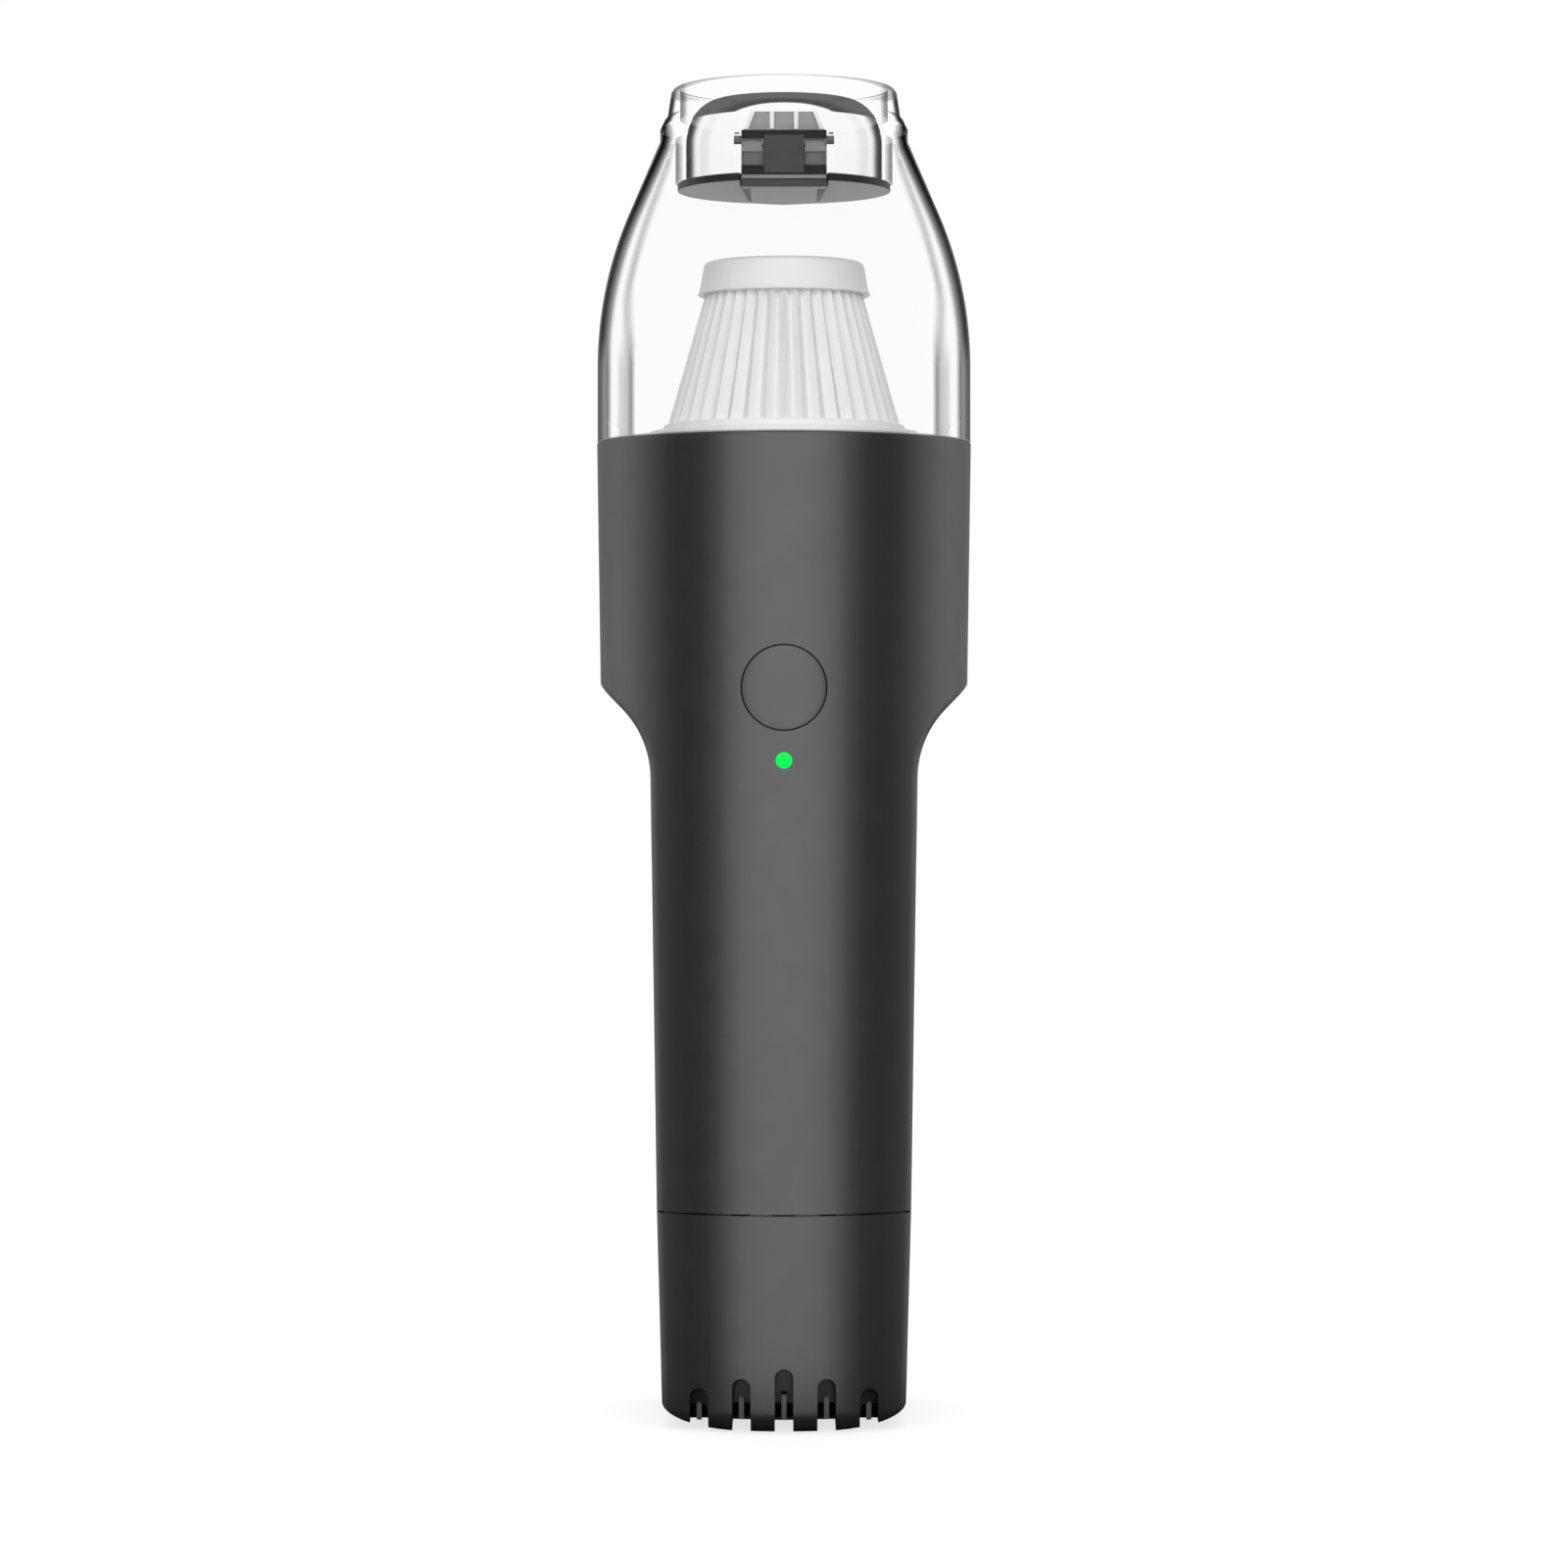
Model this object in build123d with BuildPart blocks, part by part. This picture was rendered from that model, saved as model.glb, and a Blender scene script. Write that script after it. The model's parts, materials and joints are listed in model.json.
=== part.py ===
from build123d import *

import os
from math import cos, pi, radians, sin, sqrt

os.makedirs("parts", exist_ok=True)

# Handheld vacuum cleaner, standing on its tail. Z is up, the front with the button faces -Y.
# All lengths are in millimetres and all angles in degrees.

# Clearances shared by the whole product
cut_overrun = 5.0
slip_gap = 0.3
seat_gap = 0.2
snug_gap = 0.1
running_gap = 0.04

# Body: a tapered round barrel whose two sides are cut flat to make the grip
rim_z = 183.0
seam_z = 40.0
rim_radius = 35.3
base_radius = 32.6
housing_wall = 2.2
grip_base_half_width = 22.2
grip_seam_half_width = 23.3
grip_neck_half_width = 24.45
grip_neck_z = 120.0
shoulder_radius = 18.0
shoulder_angle = 45.0
grip_edge_radius = 4.0
rim_edge_radius = 0.4

# Tail cap with its exhaust slots
tail_floor = 4.6
tail_edge_radius = 3.6
tail_corner_width = 10.0
tail_corner_height = 5.0
seam_gap = 0.35
lip_height = 3.0
slot_width = 3.4
slot_pitch = 7.8
slot_depth = 6.0
slot_recess = 1.2
slot_open_share = 0.66
groove_height = 2.3
groove_depth = 20.0
post_width = 0.9
post_height = 2.2
post_reach = 3.0
slot_heights = (11.8, 9.9, 7.8)

# Power button and its board
button_z = 136.2
button_radius = 7.75
button_gap = 0.3
button_flange_radius = 9.2
button_flange_thickness = 1.2
button_stem_radius = 2.2
button_travel = 0.8
button_edge_radius = 0.25
switch_side = 6.0
switch_depth = 3.8
switch_corner = 0.6
plunger_radius = 1.7
plunger_length = 1.2
plunger_well = 1.4
board_thickness = 1.6
board_corner = 1.5
board_setback = 12.81
control_board_width = 24.0
control_board_bottom_z = 112.0
control_board_top_z = 150.0
board_post_radius = 2.2
board_post_inset = 3.2
board_screw_radius = 0.9
board_screw_head_radius = 1.8
board_screw_head_height = 1.2
board_screw_length = 6.0
led_z = 122.9
led_radius = 1.5
led_base_radius = 1.9
led_base_height = 1.0
led_length = 5.2
lens_radius = 1.4
lens_flange_radius = 2.1
lens_flange_thickness = 1.0

# Charging board and USB-C socket, at the back of the grip
usb_z = 52.0
usb_width = 8.94
usb_height = 3.26
usb_depth = 7.3
usb_shell = 0.3
usb_tongue_width = 6.6
usb_tongue_height = 0.7
usb_tongue_depth = 5.4
socket_setback = 9.17
charge_board_width = 20.0
charge_board_height = 30.0

# Battery of three standard 18650 cells
cell_radius = 9.15
cell_length = 65.0
cell_edge_radius = 0.8
cell_gap = 0.35
cell_count = 3
cell_base_z = 20.0
cell_nib_radius = 3.2
cell_nib_height = 0.3
holder_thickness = 5.0
holder_vent_depth = 5.0
holder_vent_width = 26.0
link_thickness = 0.3
link_width = 7.0
rib_thickness = 2.0
rib_width = 28.0
rib_y = 22.0

# Motor
motor_radius = 17.9
motor_top_z = 153.5
motor_length = 42.0
motor_can_wall = 1.0
motor_boss_radius = 6.5
motor_boss_height = 2.2
motor_vent_radius = 2.4
motor_vent_circle = 11.5
motor_vent_count = 6
end_cap_thickness = 4.0
end_cap_spigot = 3.0
bush_radius = 3.0
bush_length = 4.0
shaft_radius = 1.585
shaft_tail = 1.0
magnet_thickness = 4.4
magnet_length = 25.0
magnet_span = 130.0
air_gap = 0.5
core_length = 21.0
core_slots = 5
core_slot_width = 2.4
core_slot_depth = 6.5
commutator_radius = 4.2
commutator_length = 5.0
motor_screw_circle = 12.5
motor_screw_radius = 1.5
motor_screw_head_radius = 2.6
motor_screw_head_height = 1.4
motor_screw_length = 6.0

# Fan and the shroud that carries the motor
ledge_height = 2.5
ledge_width = 3.4
shroud_floor = 2.5
shroud_wall = 1.6
shroud_inset = 0.6
shroud_height = 20.5
shroud_vent_inset = 4.4
shroud_vent_count = 8
shroud_vent_width = 5.0
shroud_vent_span = 26.0
fan_gap = 2.0
fan_plate = 1.2
fan_lift = 2.4
fan_blade_height = 10.0
fan_blade_count = 9
fan_blade_thickness = 1.3
fan_blade_bend_share = 0.88
fan_blade_sweep = 40.0
fan_hub_radius = 6.0
shaft_nose = 1.5

# Seat that carries the filter and the cup, screwed to the shroud
seat_flange = 2.5
seal_reach = 3.34
seat_wall = 2.0
seat_drop = 0.7
seat_plate = 2.0
seat_lip = 7.6
eye_radius = 13.0
eye_hub_radius = 3.2
eye_spoke_width = 1.6
eye_spoke_count = 6
seat_screw_count = 3
seat_screw_radius = 1.1
seat_screw_head_radius = 1.9
seat_screw_head_height = 1.6
seat_screw_length = 10.0
seat_boss_radius = 1.9
seal_wall = 0.8
seal_lip = 1.4

# Dust cup
overall_height = 250.0
cup_step = 0.1
cup_wall = 1.9
cup_taper_height = 44.5
cup_dome_radius = 72.0
cup_lean = 23.3
nose_inset = 11.8
collar_step = 1.7
collar_height = 8.0
collar_edge_radius = 1.6
nose_shoulder_step = 0.85
nose_shoulder_height = 1.8
collar_root_height = 0.9
spigot_depth = 4.0
spigot_wall = 1.8
spigot_rise = 2.0
nose_wall = 3.1
nose_roof = 1.8
skirt_wall = 1.4
inlet_depth = 18.0

# Inlet sleeve with the hinge of the flap
sleeve_wall = 1.4
sleeve_lip_radius = 4.4
sleeve_recess = 3.0
window_wall = 1.2
window_setback = 1.9
carrier_height = 3.3
carrier_width = 13.9
carrier_side_angle = 70.0
carrier_rib_depth = 0.8
carrier_rib_x = 2.2
carrier_rib_width = 0.8
ear_thickness = 0.9
ear_half_height = 1.4
hinge_reach = 3.0
hinge_drop = 2.2
hinge_pin_radius = 0.8
hinge_pin_overhang = 0.2

# Flap valve
flap_overlap = 0.1
flap_thickness = 1.2
flap_edge_radius = 0.4
arm_width = 15.8
arm_knuckle_radius = 1.5
arm_plate = 1.5
arm_column_width = 7.4
arm_column_depth = 1.0
arm_pocket_step = 0.5
arm_bar_height = 2.0
arm_bar_depth = 1.2
tongue_width = 12.4
tongue_length = 16.0
tongue_thickness = 1.4

# Pleated cone filter
filter_flange_setback = 1.95
filter_flange_thickness = 1.6
filter_flange_step = 2.85
filter_collar_height = 1.3
filter_seal_thickness = 0.8
filter_seal_width = 3.0
pleat_inset = 0.9
pleat_taper = 7.0
pleat_height = 24.6
pleat_depth = 1.7
pleat_paper = 0.9
pleat_count = 40
filter_cap_height = 6.2
filter_cap_overhang = 0.8
filter_cap_draft = 0.6
filter_cap_lip = 0.6
filter_cap_lip_height = 1.2
filter_cap_edge_radius = 1.0
filter_cap_dish = 0.8
filter_cap_rim = 1.6


def barrel_radius(z):
    return base_radius + (rim_radius - base_radius) * z / rim_z


# Boards follow the wall that they are screwed to
control_board_y = board_setback - barrel_radius(button_z)
charge_board_y = barrel_radius(usb_z) - socket_setback

# The cup's spigot fits the housing, the seat fits the spigot, and the shroud and fan fit the seat
spigot_bottom_z = rim_z - spigot_depth
spigot_radius = barrel_radius(spigot_bottom_z) - housing_wall - slip_gap
spigot_bore = spigot_radius - spigot_wall
seat_wall_radius = spigot_bore - seal_reach
seat_mouth_radius = seat_wall_radius - seat_lip
seat_screw_circle = seat_wall_radius + seal_wall + seat_screw_head_radius + snug_gap
shroud_inner_radius = seat_wall_radius - shroud_inset
shroud_vent_circle = shroud_inner_radius - shroud_vent_inset
fan_radius = shroud_inner_radius - fan_gap
fan_blade_radius = fan_radius * fan_blade_bend_share

# The cup is flush with the rim, and its nose hangs from the top
cup_radius = rim_radius - cup_step
nose_band_radius = cup_radius - nose_inset
collar_radius = nose_band_radius - collar_step
nose_bore_radius = collar_radius - nose_wall
skirt_radius = nose_bore_radius + skirt_wall
nose_step_z = overall_height - collar_height
cup_straight_z = nose_step_z - cup_taper_height
window_top_z = nose_step_z - nose_roof
skirt_bottom_z = overall_height - inlet_depth


def body_form(inset, bottom, top):
    # Barrel between two heights, with the flat flanks of the grip cut away on both sides
    with BuildSketch(Plane.XZ) as flanks:
        with BuildLine():
            side = Polyline(
                (grip_base_half_width - inset, 0),
                (grip_seam_half_width - inset, seam_z),
                (grip_neck_half_width - inset, grip_neck_z),
            )
            bend = JernArc(side @ 1, side % 1, shoulder_radius + inset, -shoulder_angle)
            flare = PolarLine(bend @ 1, rim_radius, direction=bend % 1)
            Polyline(flare @ 1, ((flare @ 1).X, 0), side @ 0)
        make_face()
        mirror(about=Plane.YZ)
    with BuildPart() as form:
        with BuildSketch(Plane.YZ):
            with BuildLine():
                Polyline(
                    (0, bottom),
                    (barrel_radius(bottom) - inset, bottom),
                    (barrel_radius(top) - inset, top),
                    (0, top),
                    close=True,
                )
            make_face()
        revolve(axis=Axis.Z)
        extrude(flanks.sketch, amount=rim_radius, both=True, mode=Mode.SUBTRACT)
    return form.part


def ring_profile(inner, outer, bottom, top):
    # Rectangular section of a ring, drawn on the XZ plane for a revolve
    Polyline((inner, bottom), (outer, bottom), (outer, top), (inner, top), close=True)


# Solid body, from the base to the rim, with its long edges rounded
plain_body = body_form(0, 0, rim_z)
with BuildPart() as solid_body:
    add(plain_body)
    long_edges = faces().filter_by(GeomType.CONE).edges()
    long_edges = long_edges.filter_by(lambda edge: edge.geom_type not in (GeomType.CIRCLE, GeomType.LINE))
    fillet(long_edges, grip_edge_radius)
outer_body = solid_body.part

# Main housing: one sleeve from the seam to the rim
housing_cavity = body_form(housing_wall, seam_z - cut_overrun, rim_z + cut_overrun)
housing_rebate = body_form(housing_wall / 2, seam_z - cut_overrun, seam_z + lip_height)
ledge_z = motor_top_z - ledge_height
board_front_y = control_board_y - board_thickness
board_post_x = control_board_width / 2 - board_post_inset
board_post_zs = (control_board_bottom_z + board_post_inset, control_board_top_z - board_post_inset)
board_post_places = [(x, z) for x in (-board_post_x, board_post_x) for z in board_post_zs]
charge_back_y = charge_board_y + board_thickness
charge_post_x = charge_board_width / 2 - board_post_inset
charge_post_z = usb_z + charge_board_height / 2 - board_post_inset
charge_post_places = [(-charge_post_x, charge_post_z), (charge_post_x, charge_post_z)]
with BuildPart() as main_housing:
    add(outer_body)
    split(bisect_by=Plane.XY.offset(seam_z), keep=Keep.TOP)
    fillet(edges().group_by(Axis.Z)[-1], rim_edge_radius)
    add(housing_cavity, mode=Mode.SUBTRACT)
    add(housing_rebate, mode=Mode.SUBTRACT)
    with BuildSketch(Plane.XY.offset(ledge_z)):
        Circle(barrel_radius(ledge_z) - housing_wall / 2)
        Circle(barrel_radius(ledge_z) - housing_wall - ledge_width, mode=Mode.SUBTRACT)
    extrude(amount=ledge_height)
    with BuildSketch(Plane.XZ.offset(-board_front_y)):
        with Locations(*board_post_places):
            Circle(board_post_radius)
    extrude(amount=barrel_radius(led_z) - housing_wall + board_front_y)
    with BuildSketch(Plane.XZ.offset(-charge_back_y)):
        with Locations(*charge_post_places):
            Circle(board_post_radius)
    extrude(amount=charge_back_y + housing_wall - barrel_radius(usb_z))
    with BuildSketch(Plane.XZ):
        with Locations((0, button_z)):
            Circle(button_radius + button_gap)
        with Locations((0, led_z)):
            Circle(lens_radius + snug_gap)
    extrude(amount=rim_radius + cut_overrun, mode=Mode.SUBTRACT)
    with BuildSketch(Plane.XZ):
        with Locations((0, usb_z)):
            SlotOverall(usb_width + slip_gap * 2, usb_height + slip_gap * 2)
    extrude(amount=-rim_radius - cut_overrun, mode=Mode.SUBTRACT)
    with BuildSketch(Plane.XZ.offset(-board_front_y)):
        with Locations(*board_post_places):
            Circle(board_screw_radius + running_gap)
    extrude(amount=board_screw_length, mode=Mode.SUBTRACT)
main_housing.part.label = "main_housing"
export_step(main_housing.part, "parts/main_housing.step")

# Tail cap: closed floor, exhaust slots open at the bottom edge, lip that snaps into the housing
tail_top_z = seam_z - seam_gap
tail_cavity = body_form(housing_wall, tail_floor, seam_z + lip_height + cut_overrun)
tail_lip = body_form(housing_wall / 2 + snug_gap, tail_top_z - lip_height, seam_z + lip_height)
slot_places = [(0, slot_heights[0])]
for step, height in enumerate(slot_heights[1:], start=1):
    slot_places += [(-step * slot_pitch, height), (step * slot_pitch, height)]
tail_side = grip_seam_half_width - grip_base_half_width
tail_corner_x = grip_base_half_width + tail_side * tail_corner_height / seam_z - tail_corner_width
with BuildPart() as slot_recesses:
    with BuildSketch(Plane.XZ):
        for x, height in slot_places:
            with Locations((x, 0)):
                SlotOverall(height * 2, slot_width, rotation=90)
    extrude(amount=rim_radius, both=True)
    add(body_form(slot_recess, 0, tail_top_z), mode=Mode.SUBTRACT)
with BuildPart() as tail_cap:
    add(outer_body)
    split(bisect_by=Plane.XY.offset(tail_top_z), keep=Keep.BOTTOM)
    fillet(edges().group_by(Axis.Z)[0], tail_edge_radius)
    with BuildSketch(Plane.XZ) as corners:
        with Locations((tail_corner_x, tail_corner_height)):
            Rectangle(
                tail_corner_width + cut_overrun,
                tail_corner_height + cut_overrun,
                align=(Align.MIN, Align.MAX),
            )
            Ellipse(tail_corner_width, tail_corner_height, mode=Mode.SUBTRACT)
        mirror(about=Plane.YZ)
    extrude(corners.sketch, amount=rim_radius, both=True, mode=Mode.SUBTRACT)
    add(tail_lip)
    add(tail_cavity, mode=Mode.SUBTRACT)
    add(slot_recesses.part, mode=Mode.SUBTRACT)
    for x, height in slot_places:
        slot_y = sqrt(barrel_radius(0) ** 2 - x**2)
        for facing in (-1, 1):
            with BuildSketch(Plane.XZ.offset(facing * (slot_y - slot_depth))):
                with Locations((x, 0)):
                    SlotOverall(height * slot_open_share * 2, slot_width, rotation=90)
            extrude(amount=facing * (slot_depth + cut_overrun), mode=Mode.SUBTRACT)
            with BuildSketch(Plane.XZ.offset(facing * (slot_y - groove_depth))):
                with Locations((x, 0)):
                    Rectangle(slot_width, groove_height * 2)
            extrude(amount=facing * groove_depth, mode=Mode.SUBTRACT)
            with BuildSketch(Plane.XZ.offset(facing * (slot_y - slot_depth - post_width))):
                with Locations((x, (groove_height + tail_floor + post_height) / 2)):
                    Rectangle(post_width, tail_floor + post_height - groove_height)
            extrude(amount=facing * (post_reach + post_width))
    with BuildSketch(Plane.XY.offset(tail_floor)):
        with Locations((0, -rib_y), (0, rib_y)):
            Rectangle(rib_width, rib_thickness)
    extrude(amount=cell_base_z - tail_floor)
tail_cap.part.label = "tail_cap"
export_step(tail_cap.part, "parts/tail_cap.step")

# Power button: a disc cut from the body's own surface, with a flange inside the wall and a stem
flange_front_y = -sqrt((barrel_radius(button_z) - housing_wall) ** 2 - button_flange_radius**2) + slip_gap
flange_back_y = flange_front_y + button_flange_thickness
plunger_tip_y = board_front_y - switch_depth - plunger_length
with BuildPart() as power_button:
    with BuildSketch(Plane.XZ.offset(-flange_back_y)):
        with Locations((0, button_z)):
            Circle(button_radius)
    extrude(amount=rim_radius)
    add(outer_body, mode=Mode.INTERSECT)
    fillet(faces().sort_by(Axis.Y)[0].edges(), button_edge_radius)
    with BuildSketch(Plane.XZ.offset(-flange_back_y)):
        with Locations((0, button_z)):
            Circle(button_flange_radius)
    extrude(amount=button_flange_thickness)
    with BuildSketch(Plane.XZ.offset(-flange_back_y)):
        with Locations((0, button_z)):
            Circle(button_stem_radius)
    extrude(amount=flange_back_y - plunger_tip_y)
power_button.part.label = "power_button"
export_step(power_button.part, "parts/power_button.step")

# Tact switch on the control board, and the plunger that the button pushes
with BuildPart() as tact_switch:
    with BuildSketch(Plane.XZ.offset(-board_front_y)):
        with Locations((0, button_z)):
            RectangleRounded(switch_side, switch_side, switch_corner)
    extrude(amount=switch_depth)
    with BuildSketch(Plane.XZ.offset(switch_depth - board_front_y)):
        with Locations((0, button_z)):
            Circle(plunger_radius + snug_gap)
    extrude(amount=-plunger_well, mode=Mode.SUBTRACT)
tact_switch.part.label = "tact_switch"
export_step(tact_switch.part, "parts/tact_switch.step")

plunger_foot_y = board_front_y - switch_depth + plunger_well - button_travel - snug_gap
with BuildPart() as switch_plunger:
    with BuildSketch(Plane.XZ.offset(-plunger_foot_y)):
        with Locations((0, button_z)):
            Circle(plunger_radius)
    extrude(amount=plunger_foot_y - plunger_tip_y)
switch_plunger.part.label = "switch_plunger"
export_step(switch_plunger.part, "parts/switch_plunger.step")

# Control board, its screws, the status light and its lens
with BuildPart() as control_board:
    with BuildSketch(Plane.XZ.offset(-control_board_y)):
        with Locations((0, (control_board_bottom_z + control_board_top_z) / 2)):
            RectangleRounded(control_board_width, control_board_top_z - control_board_bottom_z, board_corner)
        with Locations(*board_post_places):
            Circle(board_screw_radius + snug_gap, mode=Mode.SUBTRACT)
    extrude(amount=board_thickness)
control_board.part.label = "control_board"
export_step(control_board.part, "parts/control_board.step")

with BuildPart() as board_screws:
    with BuildSketch(Plane.XZ.offset(-control_board_y)):
        with Locations(*board_post_places):
            Circle(board_screw_head_radius)
    extrude(amount=-board_screw_head_height)
    with BuildSketch(Plane.XZ.offset(-control_board_y)):
        with Locations(*board_post_places):
            Circle(board_screw_radius)
    extrude(amount=board_screw_length)
board_screws.part.label = "board_screws"
export_step(board_screws.part, "parts/board_screws.step")

with BuildPart() as status_led:
    with BuildSketch(Plane.XZ.offset(-board_front_y)):
        with Locations((0, led_z)):
            Circle(led_base_radius)
    extrude(amount=led_base_height)
    with BuildSketch(Plane.XZ.offset(-board_front_y)):
        with Locations((0, led_z)):
            Circle(led_radius)
    extrude(amount=led_length)
    fillet(faces().sort_by(Axis.Y)[0].edges(), led_radius - snug_gap)
status_led.part.label = "status_led"
export_step(status_led.part, "parts/status_led.step")

lens_back_y = board_front_y - led_length - snug_gap
lens_wall_y = -sqrt((barrel_radius(led_z) - housing_wall) ** 2 - lens_flange_radius**2)
with BuildPart() as led_lens:
    with BuildSketch(Plane.XZ.offset(-lens_back_y)):
        with Locations((0, led_z)):
            Circle(lens_radius)
    extrude(amount=rim_radius)
    add(outer_body, mode=Mode.INTERSECT)
    with BuildSketch(Plane.XZ.offset(-lens_wall_y)):
        with Locations((0, led_z)):
            Circle(lens_flange_radius)
    extrude(amount=-lens_flange_thickness)
led_lens.part.label = "led_lens"
export_step(led_lens.part, "parts/led_lens.step")

# Charging board and USB-C socket
with BuildPart() as charge_board:
    with BuildSketch(Plane.XZ.offset(-charge_board_y)):
        with Locations((0, usb_z)):
            RectangleRounded(charge_board_width, charge_board_height, board_corner)
    extrude(amount=-board_thickness)
charge_board.part.label = "charge_board"
export_step(charge_board.part, "parts/charge_board.step")

with BuildPart() as usb_socket:
    with BuildSketch(Plane.XZ.offset(-charge_back_y)):
        with Locations((0, usb_z)):
            SlotOverall(usb_width, usb_height)
    extrude(amount=-usb_depth)
    with BuildSketch(Plane.XZ.offset(-charge_back_y - usb_depth)):
        with Locations((0, usb_z)):
            SlotOverall(usb_width - usb_shell * 2, usb_height - usb_shell * 2)
    extrude(amount=usb_depth - usb_shell, mode=Mode.SUBTRACT)
    with BuildSketch(Plane.XZ.offset(-charge_back_y)):
        with Locations((0, usb_z)):
            Rectangle(usb_tongue_width, usb_tongue_height)
    extrude(amount=-usb_tongue_depth)
usb_socket.part.label = "usb_socket"
export_step(usb_socket.part, "parts/usb_socket.step")

# Battery: three cells in a triangle between two holders, joined by nickel links
cell_circle = (cell_radius + cell_gap / 2) / sin(pi / cell_count)
cell_top_z = cell_base_z + cell_length
cell_start_angle = -90
with BuildPart() as battery_cells:
    with BuildSketch(Plane.XY.offset(cell_base_z)):
        with PolarLocations(cell_circle, cell_count, start_angle=cell_start_angle):
            Circle(cell_radius)
    extrude(amount=cell_length - cell_nib_height)
    fillet(edges().filter_by(GeomType.CIRCLE), cell_edge_radius)
    with BuildSketch(Plane.XY.offset(cell_top_z - cell_nib_height)):
        with PolarLocations(cell_circle, cell_count, start_angle=cell_start_angle):
            Circle(cell_nib_radius)
    extrude(amount=cell_nib_height)
battery_cells.part.label = "battery_cells"
export_step(battery_cells.part, "parts/battery_cells.step")


def cell_holder(bottom):
    # Plate that fills the grip's inside, with a hole for each cell and vents at front and back
    plate = body_form(housing_wall + slip_gap, bottom, bottom + holder_thickness)
    vent_y = barrel_radius(bottom) - housing_wall
    with BuildPart() as holder:
        add(plate)
        with BuildSketch(Plane.XY.offset(bottom)):
            with PolarLocations(cell_circle, cell_count, start_angle=cell_start_angle):
                Circle(cell_radius + snug_gap)
            with Locations((0, -vent_y), (0, vent_y)):
                Rectangle(holder_vent_width, holder_vent_depth * 2)
        extrude(amount=holder_thickness, mode=Mode.SUBTRACT)
    return holder.part


lower_plate = cell_holder(cell_base_z)
with BuildPart() as cell_holder_lower:
    add(lower_plate)
cell_holder_lower.part.label = "cell_holder_lower"
export_step(cell_holder_lower.part, "parts/cell_holder_lower.step")

upper_plate = cell_holder(cell_top_z - holder_thickness - cell_nib_height)
with BuildPart() as cell_holder_upper:
    add(upper_plate)
cell_holder_upper.part.label = "cell_holder_upper"
export_step(cell_holder_upper.part, "parts/cell_holder_upper.step")

link_reach = cell_circle * sin(pi / cell_count)
link_y = cell_circle * cos(pi / cell_count)
with BuildPart() as cell_links:
    with BuildSketch(Plane.XY.offset(cell_base_z)):
        with Locations((0, link_y)):
            SlotCenterToCenter(link_reach * 2, link_width)
        with Locations((0, -cell_circle)):
            SlotCenterToCenter(link_width, link_width)
    extrude(amount=-link_thickness)
    with BuildSketch(Plane.XY.offset(cell_top_z)):
        with Locations((link_reach / 2, (link_y - cell_circle) / 2)):
            SlotCenterToCenter(link_reach * 2, link_width, rotation=180 / cell_count)
        with Locations((-link_reach, link_y)):
            SlotCenterToCenter(link_width / 2, link_width)
    extrude(amount=link_thickness)
cell_links.part.label = "cell_links"
export_step(cell_links.part, "parts/cell_links.step")

# Motor: can, end cap, magnets, bushes and screws
motor_bottom_z = motor_top_z - motor_length
can_inner_radius = motor_radius - motor_can_wall
with BuildPart() as motor_can:
    with BuildSketch(Plane.XZ):
        with BuildLine():
            Polyline(
                (bush_radius, motor_top_z - motor_can_wall),
                (can_inner_radius, motor_top_z - motor_can_wall),
                (can_inner_radius, motor_bottom_z + end_cap_thickness),
                (motor_radius, motor_bottom_z + end_cap_thickness),
                (motor_radius, motor_top_z),
                (motor_boss_radius, motor_top_z),
                (motor_boss_radius, motor_top_z + motor_boss_height),
                (bush_radius, motor_top_z + motor_boss_height),
                close=True,
            )
        make_face()
    revolve(axis=Axis.Z)
    with BuildSketch(Plane.XY.offset(motor_top_z)):
        with PolarLocations(motor_screw_circle, 2):
            Circle(motor_screw_radius + running_gap)
    extrude(amount=-motor_can_wall, mode=Mode.SUBTRACT)
motor_can.part.label = "motor_can"
export_step(motor_can.part, "parts/motor_can.step")

with BuildPart() as motor_end_cap:
    with BuildSketch(Plane.XY.offset(motor_bottom_z)):
        Circle(motor_radius)
        Circle(bush_radius, mode=Mode.SUBTRACT)
        with PolarLocations(motor_vent_circle, motor_vent_count):
            Circle(motor_vent_radius, mode=Mode.SUBTRACT)
    extrude(amount=end_cap_thickness)
    with BuildSketch(Plane.XY.offset(motor_bottom_z + end_cap_thickness)):
        Circle(can_inner_radius - snug_gap)
        Circle(can_inner_radius - snug_gap - motor_can_wall, mode=Mode.SUBTRACT)
    extrude(amount=end_cap_spigot)
motor_end_cap.part.label = "motor_end_cap"
export_step(motor_end_cap.part, "parts/motor_end_cap.step")

bush_top_z = motor_top_z + motor_boss_height
with BuildPart() as motor_bushes:
    with BuildSketch(Plane.XY.offset(motor_bottom_z)):
        Circle(bush_radius)
        Circle(shaft_radius + running_gap, mode=Mode.SUBTRACT)
    extrude(amount=bush_length)
    with BuildSketch(Plane.XY.offset(bush_top_z)):
        Circle(bush_radius)
        Circle(shaft_radius + running_gap, mode=Mode.SUBTRACT)
    extrude(amount=-bush_length)
motor_bushes.part.label = "motor_bushes"
export_step(motor_bushes.part, "parts/motor_bushes.step")

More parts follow.
